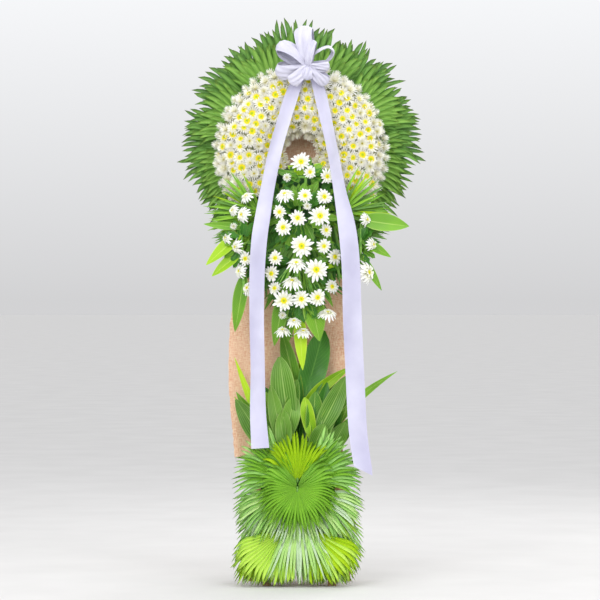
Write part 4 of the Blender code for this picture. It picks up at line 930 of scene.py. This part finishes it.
    spray(
        "spray_right", [(0.198, -0.182, 1.15), (0.196, -0.182, 1.09), (0.196, -0.178, 1.0)],
        RIGHT_DAISIES, 430, [((0.195, -0.182, 1.09), (0.026, 0.014, 0.05), 22, 38, 0.054, 0.026)],
        [((0.205, -0.182, 1.175), (1.0, -0.05, -0.17), (0.3, -1, 0.35), 0.15, 0.066, 0.0, L_MID, 0.8),
         ((0.2, -0.18, 1.06), (0.55, 0.05, -1.0), (0.3, -1, 0.0), 0.13, 0.028, 0.02, L_MID, 0.4),
         ((0.2, -0.182, 1.11), (0.9, -0.05, -0.5), (0.3, -1, 0.2), 0.11, 0.032, 0.05, L_MID, 0.6)], 90,
        [((0.12, -0.15, 1.17), -34, 100, 56, 0.18, 44, grass, 0.01, 0.04, 0.2),
         ((0.15, -0.16, 1.14), -48, 110, 44, 0.13, 46, [L_BLADE, L_FRESH], 0.01, 0.02, 0.2),
         ((0.11, -0.15, 1.1), -82, 46, 22, 0.15, 52, dark_grass, 0.011, 0.03, 0.1)], [],
        [(0.195, -0.182, 1.09), (0.12, -0.13, 1.12), (0.11, -0.115, 1.14), (0.07, -0.115, 1.14)],
    )


# Stalks and skirt


def foam_cover(piece, faces, seed, low=0.122, rows=6, first=0.165, step=0.046, size=0.105, slots=(0, 0, 1)):
    """Short leaves pinned down the hidden faces of the foam, row over row, as a florist covers it."""
    draw = random.Random(seed)
    for start, along, out, count in faces:
        start, along, out = Vector(start), Vector(along), Vector(out)
        for row in range(rows):
            for k in range(count):
                share = (k + 0.25 + 0.5 * (row % 2)) / count + draw.uniform(-0.05, 0.05)
                base = start + along * share + Vector((0, 0, first + step * row)) - out * 0.002
                way = Vector((0, 0, -1)) + along.normalized() * draw.uniform(-0.25, 0.25) + out * 0.06
                length = min(size * draw.uniform(0.85, 1.1), base.z - low)
                width = size / 2 * draw.uniform(0.85, 1.1)
                base += out * 0.0012 * row
                broad_leaf(piece, base, way, out, length, width, 0.01, draw.choice(slots),
                           draw.uniform(0.3, 0.9), seed * 40 + row * 9 + k, wave=0.05, blunt=0.5)


def stalk(name, root, top, leaves, seed, cover=()):
    """A stalk in the lower foam with its leaves, each drawn from a base to a tip."""
    piece = Piece()
    foam_cover(piece, cover, seed)
    end = Vector(root) - Vector((0, 0, 0.02))
    piece.tube([end, root, top], (0.0048, 0.0036), 3)
    for k, (base, tip, width, bend, sway, blunt, slot, shade) in enumerate(leaves):
        base, tip = Vector(base), Vector(tip)
        side = 1 if tip.x > base.x else -1
        broad_leaf(piece, base, tip - base, (0.15 * side, -1, 0.05), (tip - base).length, width, bend, slot,
                   shade, seed + k, 0.0, 0.18, sway, blunt)
    materials = [leaf_deep, leaf_mid, leaf_lime, stem_green, leaf_ribbed]
    piece.build(name + "_leaves", [name], materials)


def stalks():
    top = BASE_TOP
    deep, mid, lime, ribbed = 0, 1, 2, 4
    # base, tip, width, bend, sway, bluntness, material and shade of each leaf
    stalk("stalk_left", (-0.08, -0.08, top), (-0.105, -0.085, 0.5), [
        ((-0.1, -0.084, 0.47), (-0.214, -0.078, 0.612), 0.04, 0.06, 0.05, 0.0, mid, 0.4),
        ((-0.098, -0.084, 0.44), (-0.226, -0.078, 0.59), 0.028, 0.02, 0.1, 0.0, lime, 0.5),
        ((-0.104, -0.086, 0.48), (-0.158, -0.082, 0.664), 0.036, 0.02, 0.0, 0.0, mid, 0.8),
        ((-0.092, -0.092, 0.41), (-0.196, -0.096, 0.6), 0.066, 0.04, -0.06, 0.5, ribbed, 0.2),
        ((-0.084, -0.096, 0.41), (-0.11, -0.1, 0.618), 0.06, 0.04, 0.0, 0.6, mid, 0.6),
        ((-0.096, -0.08, 0.44), (-0.218, -0.07, 0.728), 0.026, 0.02, 0.02, 0.0, lime, 0.8),
        ((-0.086, -0.088, 0.405), (-0.15, -0.1, 0.56), 0.056, 0.04, -0.04, 0.6, mid, 0.5),
    ], 1000, [((-0.11, -0.15, 0.0), (0.0, 0.125, 0.0), (-1, 0, 0), 4),
              ((-0.11, -0.025, 0.0), (0.105, 0.0, 0.0), (0, 1, 0), 3)])
    stalk("stalk_middle_left", (-0.04, -0.11, top), (-0.055, -0.118, 0.53), [
        ((-0.03, -0.116, 0.49), (-0.07, -0.112, 0.732), 0.082, 0.03, 0.02, 0.8, ribbed, 0.5),
        ((-0.05, -0.116, 0.47), (-0.006, -0.11, 0.66), 0.05, 0.03, 0.0, 0.4, mid, 0.4),
        ((-0.04, -0.12, 0.46), (-0.03, -0.126, 0.606), 0.062, 0.05, 0.1, 1.0, ribbed, 0.9),
        ((-0.05, -0.122, 0.43), (-0.094, -0.12, 0.642), 0.05, 0.03, 0.0, 0.5, ribbed, 0.8),
        ((-0.045, -0.124, 0.42), (-0.06, -0.134, 0.56), 0.056, 0.05, 0.05, 0.9, ribbed, 0.9),
        ((-0.05, -0.116, 0.43), (-0.124, -0.11, 0.58), 0.05, 0.04, 0.0, 0.5, mid, 0.6),
    ], 1020)
    stalk("stalk_centre", (0.0, -0.06, top), (0.0, -0.066, 0.6), [
        ((0.006, -0.066, 0.56), (-0.058, -0.066, 0.818), 0.056, 0.01, 0.0, 0.3, mid, 0.3),
        ((0.004, -0.066, 0.56), (0.086, -0.066, 0.816), 0.09, 0.01, -0.03, 0.9, deep, 0.9),
        ((0.006, -0.07, 0.56), (0.128, -0.082, 0.724), 0.04, 0.02, 0.22, 0.3, lime, 0.1),
        ((0.0, -0.068, 0.44), (0.03, -0.07, 0.68), 0.09, 0.02, 0.0, 0.7, deep, 0.8),
        ((0.0, -0.068, 0.44), (-0.08, -0.07, 0.68), 0.08, 0.02, 0.0, 0.6, deep, 0.7),
        ((0.0, -0.064, 0.43), (0.11, -0.064, 0.67), 0.08, 0.02, 0.0, 0.6, deep, 0.9),
        ((0.0, -0.062, 0.43), (-0.13, -0.064, 0.64), 0.07, 0.02, 0.0, 0.6, deep, 0.6),
        ((0.0, -0.062, 0.6), (0.012, -0.064, 0.74), 0.04, 0.01, 0.0, 0.2, lime, 0.3),
    ], 1040)
    stalk("stalk_middle_right", (0.04, -0.11, top), (0.05, -0.12, 0.51), [
        ((0.05, -0.118, 0.47), (0.16, -0.124, 0.664), 0.066, 0.02, -0.05, 0.6, ribbed, 0.8),
        ((0.04, -0.117, 0.46), (0.052, -0.12, 0.62), 0.058, 0.03, 0.0, 0.7, mid, 0.2),
        ((0.044, -0.122, 0.46), (0.016, -0.13, 0.602), 0.046, 0.05, 0.0, 0.8, lime, 0.3),
        ((0.036, -0.126, 0.42), (0.08, -0.14, 0.516), 0.056, 0.06, 0.0, 1.0, ribbed, 0.1),
        ((0.046, -0.114, 0.43), (0.128, -0.116, 0.61), 0.05, 0.04, 0.0, 0.5, mid, 0.5),
        ((0.046, -0.116, 0.45), (0.09, -0.11, 0.65), 0.05, 0.02, 0.0, 0.5, deep, 0.8),
    ], 1060)
    stalk("stalk_right", (0.075, -0.07, top), (0.1, -0.074, 0.5), [
        ((0.098, -0.074, 0.48), (0.242, -0.062, 0.73), 0.03, 0.06, 0.32, 0.0, mid, 0.9),
        ((0.096, -0.074, 0.47), (0.158, -0.072, 0.66), 0.048, 0.03, 0.0, 0.3, mid, 0.5),
        ((0.086, -0.078, 0.42), (0.12, -0.08, 0.64), 0.062, 0.03, 0.0, 0.5, deep, 0.9),
        ((0.088, -0.076, 0.41), (0.176, -0.08, 0.54), 0.05, 0.04, 0.0, 0.5, mid, 0.4),
        ((0.086, -0.084, 0.405), (0.15, -0.1, 0.52), 0.06, 0.04, 0.0, 0.6, ribbed, 0.6),
    ], 1080, [((0.1, -0.025, 0.0), (0.0, -0.125, 0.0), (1, 0, 0), 4),
              ((-0.005, -0.025, 0.0), (0.105, 0.0, 0.0), (0, 1, 0), 3)])


# the skirt's greens; the pale silvery one is a painted sheen, and palm_shadow a darker copy, painted shade
# for leaves behind
SKIRT = [palm_skirt, palm_lime, palm_painted_sheen, palm_shadow, palm_gold, palm_mid, palm_fresh]
FRESH, LIME, PAINTED_SHEEN, MID, GOLD, SKIRT_STEM, VIVID = range(7)
# the skirt's sides: height, left and right edge
SKIRT_EDGES = [(0.0, -0.192, 0.15), (0.06, -0.219, 0.198), (0.11, -0.219, 0.212), (0.165, -0.204, 0.212),
               (0.215, -0.21, 0.196), (0.27, -0.219, 0.212), (1.0, -0.219, 0.208)]


def within_skirt(hub, way, reach):
    """The reach of a finger, cut so that it stays inside the skirt's outline."""
    flat, rise = math.cos(way), math.sin(way)
    if rise < -0.05:
        reach = min(reach, (hub.z - 0.006) / -rise)
    while reach > 0.03:
        x, z = hub.x + flat * reach, max(0.0, hub.z + rise * reach)
        for (low, left_0, right_0), (high, left_1, right_1) in zip(SKIRT_EDGES, SKIRT_EDGES[1:]):
            if low <= z < high:
                t = (z - low) / (high - low)
                if left_0 + (left_1 - left_0) * t <= x <= right_0 + (right_1 - right_0) * t:
                    return reach
        reach *= 0.97
    return reach


def skirt_leaf(name, centre, off, heading, spread, fingers, length, depth, bulge, slot, shade, seed,
               layers=(), low_tips=(), notch=0.55):
    """A palm leaf of the skirt, with more leaves behind it and, at its foot, tips that reach the floor."""
    turn = math.radians(heading)
    hub = Vector(centre) + flat_way(turn) * off
    hub.y = depth

    def length_of(way):
        return within_skirt(hub, way, length)

    def depth_of(spot):
        far = math.hypot(spot.x - hub.x, spot.z - hub.z) / length
        return bulge * (far * far - 1.2 * far)

    piece = Piece()
    fan(piece, hub, turn, math.radians(spread), fingers, length_of, depth_of, notch, 0.0045, seed, slot,
        shade, 0.008, sag=0.022)
    # more leaves close behind, turned or moved a little, fill between the first one's fingers
    for k, (swing, longer, count, its_spread, its_slot, its_shade, dx, dz) in enumerate(layers):
        own = hub + Vector((dx, 0.008 + 0.007 * k, dz))

        def stretched(way):
            return within_skirt(own, way, length * longer)

        fan(piece, own, turn + math.radians(swing), math.radians(its_spread), count, stretched, depth_of, 0.6,
            0.0035, seed + 70 + k, its_slot, its_shade, 0.008, sag=0.022)
    for x in low_tips:
        own = Vector((x, -0.158, 0.2))
        fan(piece, own, math.radians(270), math.radians(30), 8, lambda way: within_skirt(own, way, 0.21),
            depth_of, 0.55, 0.0035, seed + 90, FRESH, 0.4, 0.004)
    stem = [Vector((hub.x, BASE_FRONT, hub.z)), Vector((hub.x, BASE_FRONT + 0.02, hub.z))]
    petiole(piece, hub, turn, stem, SKIRT_STEM)
    piece.build(name + "_leaf", [name], SKIRT)


def skirt():
    upper, lower = (-0.006, 0.0, 0.328), (-0.006, 0.0, 0.24)
    # swing, length, fingers, spread, material, shade and shift of each leaf behind the first
    green, limes = [FRESH, FRESH, MID, PAINTED_SHEEN], [GOLD, LIME, GOLD]
    skirt_leaf("skirt_top", upper, 0.012, 92, 84, 14, 0.16, -0.222, 0.01, LIME, 0.4, 500,
               [(4, 0.98, 17, 112, [LIME, LIME, VIVID], 0.4, 0, 0), (-5, 0.88, 16, 130, VIVID, 0.6, 0, 0)])
    skirt_leaf("skirt_disc", upper, 0.012, 268, 224, 34, 0.128, -0.232, 0.02, VIVID, 0.8, 501,
               [(2, 1.12, 36, 262, VIVID, 0.6, 0, 0), (-2, 0.95, 40, 320, VIVID, 0.3, 0, 0.008),
                (0, 1.45, 22, 84, [PAINTED_SHEEN, PAINTED_SHEEN, FRESH], 0.6, 0, -0.008)])
    skirt_leaf("skirt_upper_left", upper, 0.034, 158, 76, 14, 0.178, -0.2, 0.012, [VIVID, MID], 0.5, 502,
               [(-6, 1.0, 15, 88, MID, 0.8, 0, 0), (-14, 1.0, 15, 90, FRESH, 0.3, -0.02, 0.008)])
    skirt_leaf("skirt_upper_right", upper, 0.034, 24, 76, 14, 0.176, -0.204, 0.012, [VIVID, MID], 0.6, 503,
               [(6, 1.0, 15, 88, MID, 0.9, 0, 0), (12, 1.0, 15, 90, MID, 0.8, 0.02, 0.004)])
    skirt_leaf("skirt_left", upper, 0.048, 210, 66, 13, 0.174, -0.186, 0.03, green, 0.6, 504,
               [(8, 1.0, 14, 80, green, 0.5, 0, 0), (22, 1.15, 18, 70, [PAINTED_SHEEN, FRESH], 0.5, 0, -0.005),
                (0, 1.05, 15, 84, MID, 0.8, -0.02, -0.03), (10, 1.1, 18, 84, FRESH, 0.4, -0.03, -0.05)])
    skirt_leaf("skirt_right", upper, 0.048, -30, 66, 13, 0.182, -0.186, 0.03, green, 0.7, 505,
               [(-8, 1.0, 14, 80, green, 0.4, 0, 0),
                (-22, 1.15, 18, 70, [FRESH, GOLD, PAINTED_SHEEN], 0.5, 0, -0.005),
                (0, 1.05, 15, 84, MID, 0.8, 0.02, -0.03),
                (-10, 1.1, 18, 84, [FRESH, GOLD], 0.4, 0.03, -0.05)])
    skirt_leaf("skirt_low_centre", upper, 0.06, 270, 50, 15, 0.262, -0.19, 0.045, [FRESH, PAINTED_SHEEN], 0.6, 506,
               [(3, 1.0, 17, 58, [FRESH, PAINTED_SHEEN], 0.6, 0, 0), (-3, 1.0, 18, 66, [FRESH, MID], 0.7, 0, -0.01),
                (0, 1.1, 24, 70, FRESH, 0.5, 0, -0.03)],
               (-0.105, 0.105))
    skirt_leaf("skirt_low_left", lower, 0.07, 236, 92, 18, 0.19, -0.192, 0.02, GOLD, 0.7, 520,
               [(28, 1.1, 14, 56, GOLD, 0.7, -0.066, 0.01), (20, 1.08, 15, 66, limes, 0.6, -0.04, 0.02),
                (6, 1.0, 16, 90, GOLD, 0.6, -0.02, 0.0), (22, 1.3, 18, 66, limes, 0.5, -0.045, 0.0),
                (10, 1.2, 20, 90, FRESH, 0.5, -0.07, 0.0)], notch=0.74)
    skirt_leaf("skirt_low_right", lower, 0.07, -56, 84, 16, 0.188, -0.19, 0.02, limes, 0.8, 521,
               [(-28, 1.1, 14, 56, GOLD, 0.7, 0.062, 0.01), (-20, 1.08, 15, 66, limes, 0.6, 0.036, 0.02),
                (-6, 1.0, 16, 90, [GOLD, FRESH], 0.6, 0.02, 0.0), (-22, 1.3, 18, 66, limes, 0.5, 0.045, 0.0),
                (-10, 1.2, 20, 90, FRESH, 0.5, 0.07, 0.0)], notch=0.7)


# Cloth


def burlap_sheet():
    """The burlap: bowed sides, a slack surface and long edges that turn back a little."""
    heights = [0.405, 0.47, 0.56, 0.66, 0.76, 0.86, 0.96, 1.08, 1.24, 1.38, 1.49]
    left = [-0.212, -0.217, -0.226, -0.232, -0.231, -0.225, -0.196, -0.15, -0.13, -0.12, -0.11]
    right = [0.13, 0.14, 0.16, 0.19, 0.198, 0.192, 0.165, 0.15, 0.13, 0.12, 0.11]
    edges = smooth_path(list(zip(heights, left, right)), 8)
    wide, depth, threads = 48, -0.02, 60
    piece = Piece()
    points, maps = [], []
    draw = random.Random(9)
    for row, (height, low, high) in enumerate(edges):
        fray_low, fray_high = draw.uniform(-0.0012, 0.0012), draw.uniform(-0.0012, 0.0012)
        for k in range(wide + 1):
            share = k / wide
            x = low + (high - low) * share + fray_low * (share == 0) + fray_high * (share == 1)
            edge = max(0.0, 1 - min(share, 1 - share) / 0.04)
            slack = 0.0005 * math.sin(x * 55 + height * 9) * math.sin(height * 23 + x * 17)
            drop = draw.uniform(-0.003, 0.001) if row == 0 else 0.0
            points.append((x, depth + slack + 0.01 * edge ** 1.5, height + drop))
            maps.append((x, height))
    piece.grid(points, 0, maps, 0.5, wide + 1)
    # loose threads along the cut lower edge
    for k in range(threads):
        far = draw.uniform(0.004, 0.011)
        spot = Vector((-0.208 + 0.334 * k / (threads - 1), depth - 0.0004, 0.406))
        piece.tube([spot, spot + Vector((draw.uniform(-0.002, 0.002), -0.001, -far))], 0.0005, 0, sides=3)
    item = piece.build("burlap_cloth", ["burlap"], [burlap])


def ribbons():
    """The two ribbons, each a smooth run through its stops from behind the knot to the cut end."""
    # x, z, depth, width and twist in degrees
    left = [
        (0.016, 1.672, -0.1567, 0.014, 0), (0.0, 1.64, -0.1565, 0.034, 0), (-0.022, 1.59, -0.16, 0.046, 8),
        (-0.05, 1.5, -0.172, 0.048, 20), (-0.078, 1.4, -0.176, 0.05, 26), (-0.104, 1.27, -0.194, 0.05, 24),
        (-0.119, 1.18, -0.214, 0.051, 10), (-0.129, 1.11, -0.22, 0.051, 2), (-0.136, 1.0, -0.212, 0.049, 0),
        (-0.137, 0.85, -0.203, 0.047, -8), (-0.134, 0.7, -0.193, 0.046, 6), (-0.133, 0.56, -0.19, 0.051, 0),
        (-0.125, 0.444, -0.229, 0.057, 0),
    ]
    right = [
        (0.0375, 1.672, -0.1562, 0.014, 0), (0.052, 1.64, -0.1565, 0.034, 0),
        (0.066, 1.59, -0.16, 0.043, -12),
        (0.086, 1.5, -0.172, 0.045, -28), (0.107, 1.4, -0.178, 0.044, -34), (0.13, 1.27, -0.198, 0.048, -30),
        (0.148, 1.18, -0.214, 0.057, -14), (0.159, 1.1, -0.22, 0.06, -3), (0.166, 1.0, -0.214, 0.06, 6),
        (0.17, 0.85, -0.204, 0.061, 0), (0.177, 0.7, -0.194, 0.061, -6), (0.187, 0.5, -0.206, 0.06, 0),
        (0.204, 0.372, -0.234, 0.058, 0),
    ]
    for side, stops in (("left", left), ("right", right)):
        slope = Vector((1.0, 0.0, 0.06 if side == "left" else -0.12)).normalized()
        path = smooth_path([(x, depth, z, width, twist) for x, z, depth, width, twist in stops], 10)
        wide = 10
        piece = Piece()
        points, maps, tints = [], [], []
        run, last = 0.0, path[0]
        for k, stop in enumerate(path):
            spot = Vector(stop[:3])
            run += math.dist(stop[:3], last[:3])
            last = stop
            gather = max(0.0, 1 - run / 0.12)
            for j in range(wide + 1):
                u = 2 * j / wide - 1
                ripple = 0.0024 * math.sin(run * 9 + 1.6 * u) + 0.0012 * math.sin(run * 31 + 2.0 * u)
                ripple += 0.0035 * gather * math.cos(u * 9)
                curl = -0.002 * u * u
                twist = math.radians(stop[4])
                point = spot + slope * math.cos(twist) * stop[3] / 2 * u + Vector((0, ripple + curl, 0))
                point.y += math.sin(twist) * stop[3] / 2 * u
                if k == len(path) - 1:
                    point.z += (-0.011 if side == "right" else 0.0) * u
                points.append(point)
                maps.append((u, run))
                # painted shade: the satin darkens in soft waves along the run and more the further it runs
                # from the knot
                wave = math.sin(run * 9 + 1.6 * u + 1.5) * 0.22 + math.sin(run * 21 - 1.1 * u) * 0.1
                tints.append(unit(0.12 + wave + min(0.35, 0.3 * run)))
        piece.grid(points, 0, maps, tints, wide + 1)
        item = piece.build("ribbon_%s_satin" % side, ["ribbon_" + side], [satin])


def bow_loop(piece, turn, length, width, depth, rise, roll, seed):
    """A band that runs out from the knot, over and back, gathered at the knot and turned by roll."""
    draw = random.Random(seed)
    way = flat_way(turn)
    side = Vector((-math.sin(turn), 0.0, math.cos(turn)))
    back = Vector((0, 1, 0))
    roll = math.radians(roll)
    across = side * math.cos(roll) + back * math.sin(roll)
    out_of = side * math.sin(roll) - back * math.cos(roll)
    steps, wide = 36, 16
    points, maps, tints, run = [], [], [], 0.0
    last, own = None, draw.uniform(0.0, 0.25)
    for k in range(steps + 1):
        angle = 2 * math.pi * k / steps
        out = length * (1 - math.cos(angle)) / 2
        swell = math.sin(angle / 2)
        gather = 0.28 + 0.72 * swell ** 0.8
        spot = KNOT + way * out + out_of * rise * math.sin(angle) * (0.6 + 0.4 * swell) + back * depth
        run += (spot - last).length if last is not None else 0.0
        last = spot
        for j in range(wide + 1):
            u = 2 * j / wide - 1
            pleat = 0.0046 * (1.1 - gather) * math.cos(u * 7 + seed)
            pleat += 0.0022 * (1 - abs((3.1 * u + 1.2 * angle + seed) % 2.0 - 1.0) * 2) * swell
            bulge = 0.004 * swell * (1 - u * u) * (1 if angle < math.pi else -1)
            point = spot + across * width / 2 * gather * u + out_of * (pleat + bulge)
            point -= way * width * 0.22 * swell ** 3 * u * u
            points.append(point)
            maps.append((u, run))
            # painted shade: darker where the band gathers towards the knot and along its creases, over a
            # random tone for each loop
            crease = 0.5 + 0.5 * math.sin(u * 7 + seed + 1.2)
            tints.append(min(1.0, own + 0.65 * (1 - gather) * crease + 0.06 * crease))
    piece.grid(points, 0, maps, tints, wide + 1)


def bow():
    """The bow: nine loops round a knot, on the pick that holds it in the ring."""
    piece = Piece()
    # heading, length, width, depth, rise and roll
    loops = [
        (97, 0.134, 0.062, -0.004, 0.02, 16), (143, 0.124, 0.058, -0.002, 0.022, -38),
        (190, 0.108, 0.056, 0.0, 0.02, 32), (224, 0.082, 0.046, -0.012, 0.014, 10),
        (262, 0.046, 0.04, -0.014, 0.012, 0), (318, 0.086, 0.042, -0.012, 0.014, -25),
        (36, 0.1, 0.03, -0.002, 0.025, 68), (0, 0.07, 0.036, -0.01, 0.014, -22),
        (82, 0.088, 0.036, -0.016, 0.012, 12),
    ]
    for k, (heading, length, width, depth, rise, roll) in enumerate(loops):
        bow_loop(piece, math.radians(heading), length, width, depth, rise, roll, k + 1)
    # the knot, wrapped by a gathered band
    points, maps = [], []
    for k in range(13):
        tall = math.pi * k / 12
        for j, turn in enumerate(round_turns(24)):
            crease = 1.0 + 0.09 * math.cos(turn * 6 + 1.0) * math.sin(tall)
            points.append(KNOT + Vector((0.02 * math.sin(tall) * math.cos(turn) * crease,
                                         0.016 * math.sin(tall) * math.sin(turn) * crease - 0.002,
                                         0.021 * math.cos(tall))))
            maps.append((2 * j / 24 - 1, k * 0.003))
    piece.grid(points, 0, maps, 0.1, 25)
    piece.tube([KNOT, (KNOT.x, -0.096, KNOT.z - 0.006), (KNOT.x, -0.078, KNOT.z - 0.006)], 0.0022, 1)
    item = piece.build("bow_satin", ["bow"], [satin_bow, stem_green])


# The stand, the stage and the camera


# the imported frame's own solids, by what they are made of
STAND = {
    timber_up: ("front_leg_left", "front_leg_right", "rear_leg", "short_post_left", "short_post_right"),
    timber_across: ("top_rail", "ring_rail", "cloth_rail_middle", "cloth_rail_low", "back_rail", "foot_rail",
                    "shelf"),
    plywood: ("backing_board",),
    foam: ("ring_foam", "spray_foam", "base_foam"),
}
for material, solids in STAND.items():
    for solid in solids:
        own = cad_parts[solid].data.materials
        own.clear()
        own.append(material)

for sector in range(6):
    mum_sector(sector)
back_palms()
side_palms()
sprays()
stalks()
skirt()
burlap_sheet()
bow()
ribbons()


def studio():
    """A pale floor, soft lights, and the camera straight in front."""
    reach, sides = 160, 64
    turns = round_turns(sides)[:-1]
    mesh = bpy.data.meshes.new("floor")
    rim = [(reach * math.cos(t), reach * math.sin(t), 0.0) for t in turns]
    mesh.from_pydata(rim, [], [tuple(range(sides))])
    shade = Shade("pale_floor", 0.85, Specular_IOR_Level=0.1)
    grain = shade.noise(3.0, 4.0, shade.place())
    shade.colour(shade.mixed(shade.ranged(grain, 0.3, 0.7), (0.66, 0.65, 0.64), (0.7, 0.69, 0.68)))
    mesh.materials.append(shade.material)
    linked("floor", mesh)

    world = bpy.data.worlds.new("studio")
    world.use_nodes = True
    tree = world.node_tree
    tree.nodes["Background"].inputs["Strength"].default_value = 0.98
    way = tree.nodes.new("ShaderNodeSeparateXYZ")
    tree.links.new(tree.nodes.new("ShaderNodeTexCoord").outputs["Generated"], way.inputs[0])
    ramp = tree.nodes.new("ShaderNodeValToRGB")
    ramp.color_ramp.elements[0].color = (0.66, 0.66, 0.67, 1.0)
    ramp.color_ramp.elements[1].position = 0.12
    ramp.color_ramp.elements[1].color = (0.97, 0.98, 1.0, 1.0)
    tree.links.new(way.outputs[2], ramp.inputs[0])
    tree.links.new(ramp.outputs[0], tree.nodes["Background"].inputs["Color"])
    bpy.context.scene.world = world
    aim = Vector((0, -0.1, 0.95))
    # name, place, size and power
    lamps = [("key", (-2.0, -5.0, 3.4), 2.2, 92.0), ("fill", (3.0, -5.2, 3.0), 2.2, 50.0),
             ("top", (0.0, -1.0, 4.2), 2.2, 34.0), ("rim", (1.8, 2.4, 3.2), 1.6, 34.0)]
    for name, spot, size, power in lamps:
        light = bpy.data.lights.new(name, "AREA")
        light.size = size
        light.energy = power
        lamp = linked(name, light)
        lamp.location = spot
        lamp.rotation_euler = (aim - Vector(spot)).to_track_quat("-Z", "Y").to_euler()
        lamp.visible_camera = False

    lens = bpy.data.cameras.new("camera")
    lens.sensor_width = 36.0
    distance, height, span = 9.0, 0.917, 1.98
    lens.lens = lens.sensor_width * distance / span
    lens.clip_end = 400.0
    camera = linked("camera", lens)
    camera.location = (-0.001, -distance, height)
    camera.rotation_euler = (math.radians(90.0), 0.0, 0.0)
    bpy.context.scene.camera = camera
    bpy.context.scene.view_settings.view_transform = "Standard"


studio()
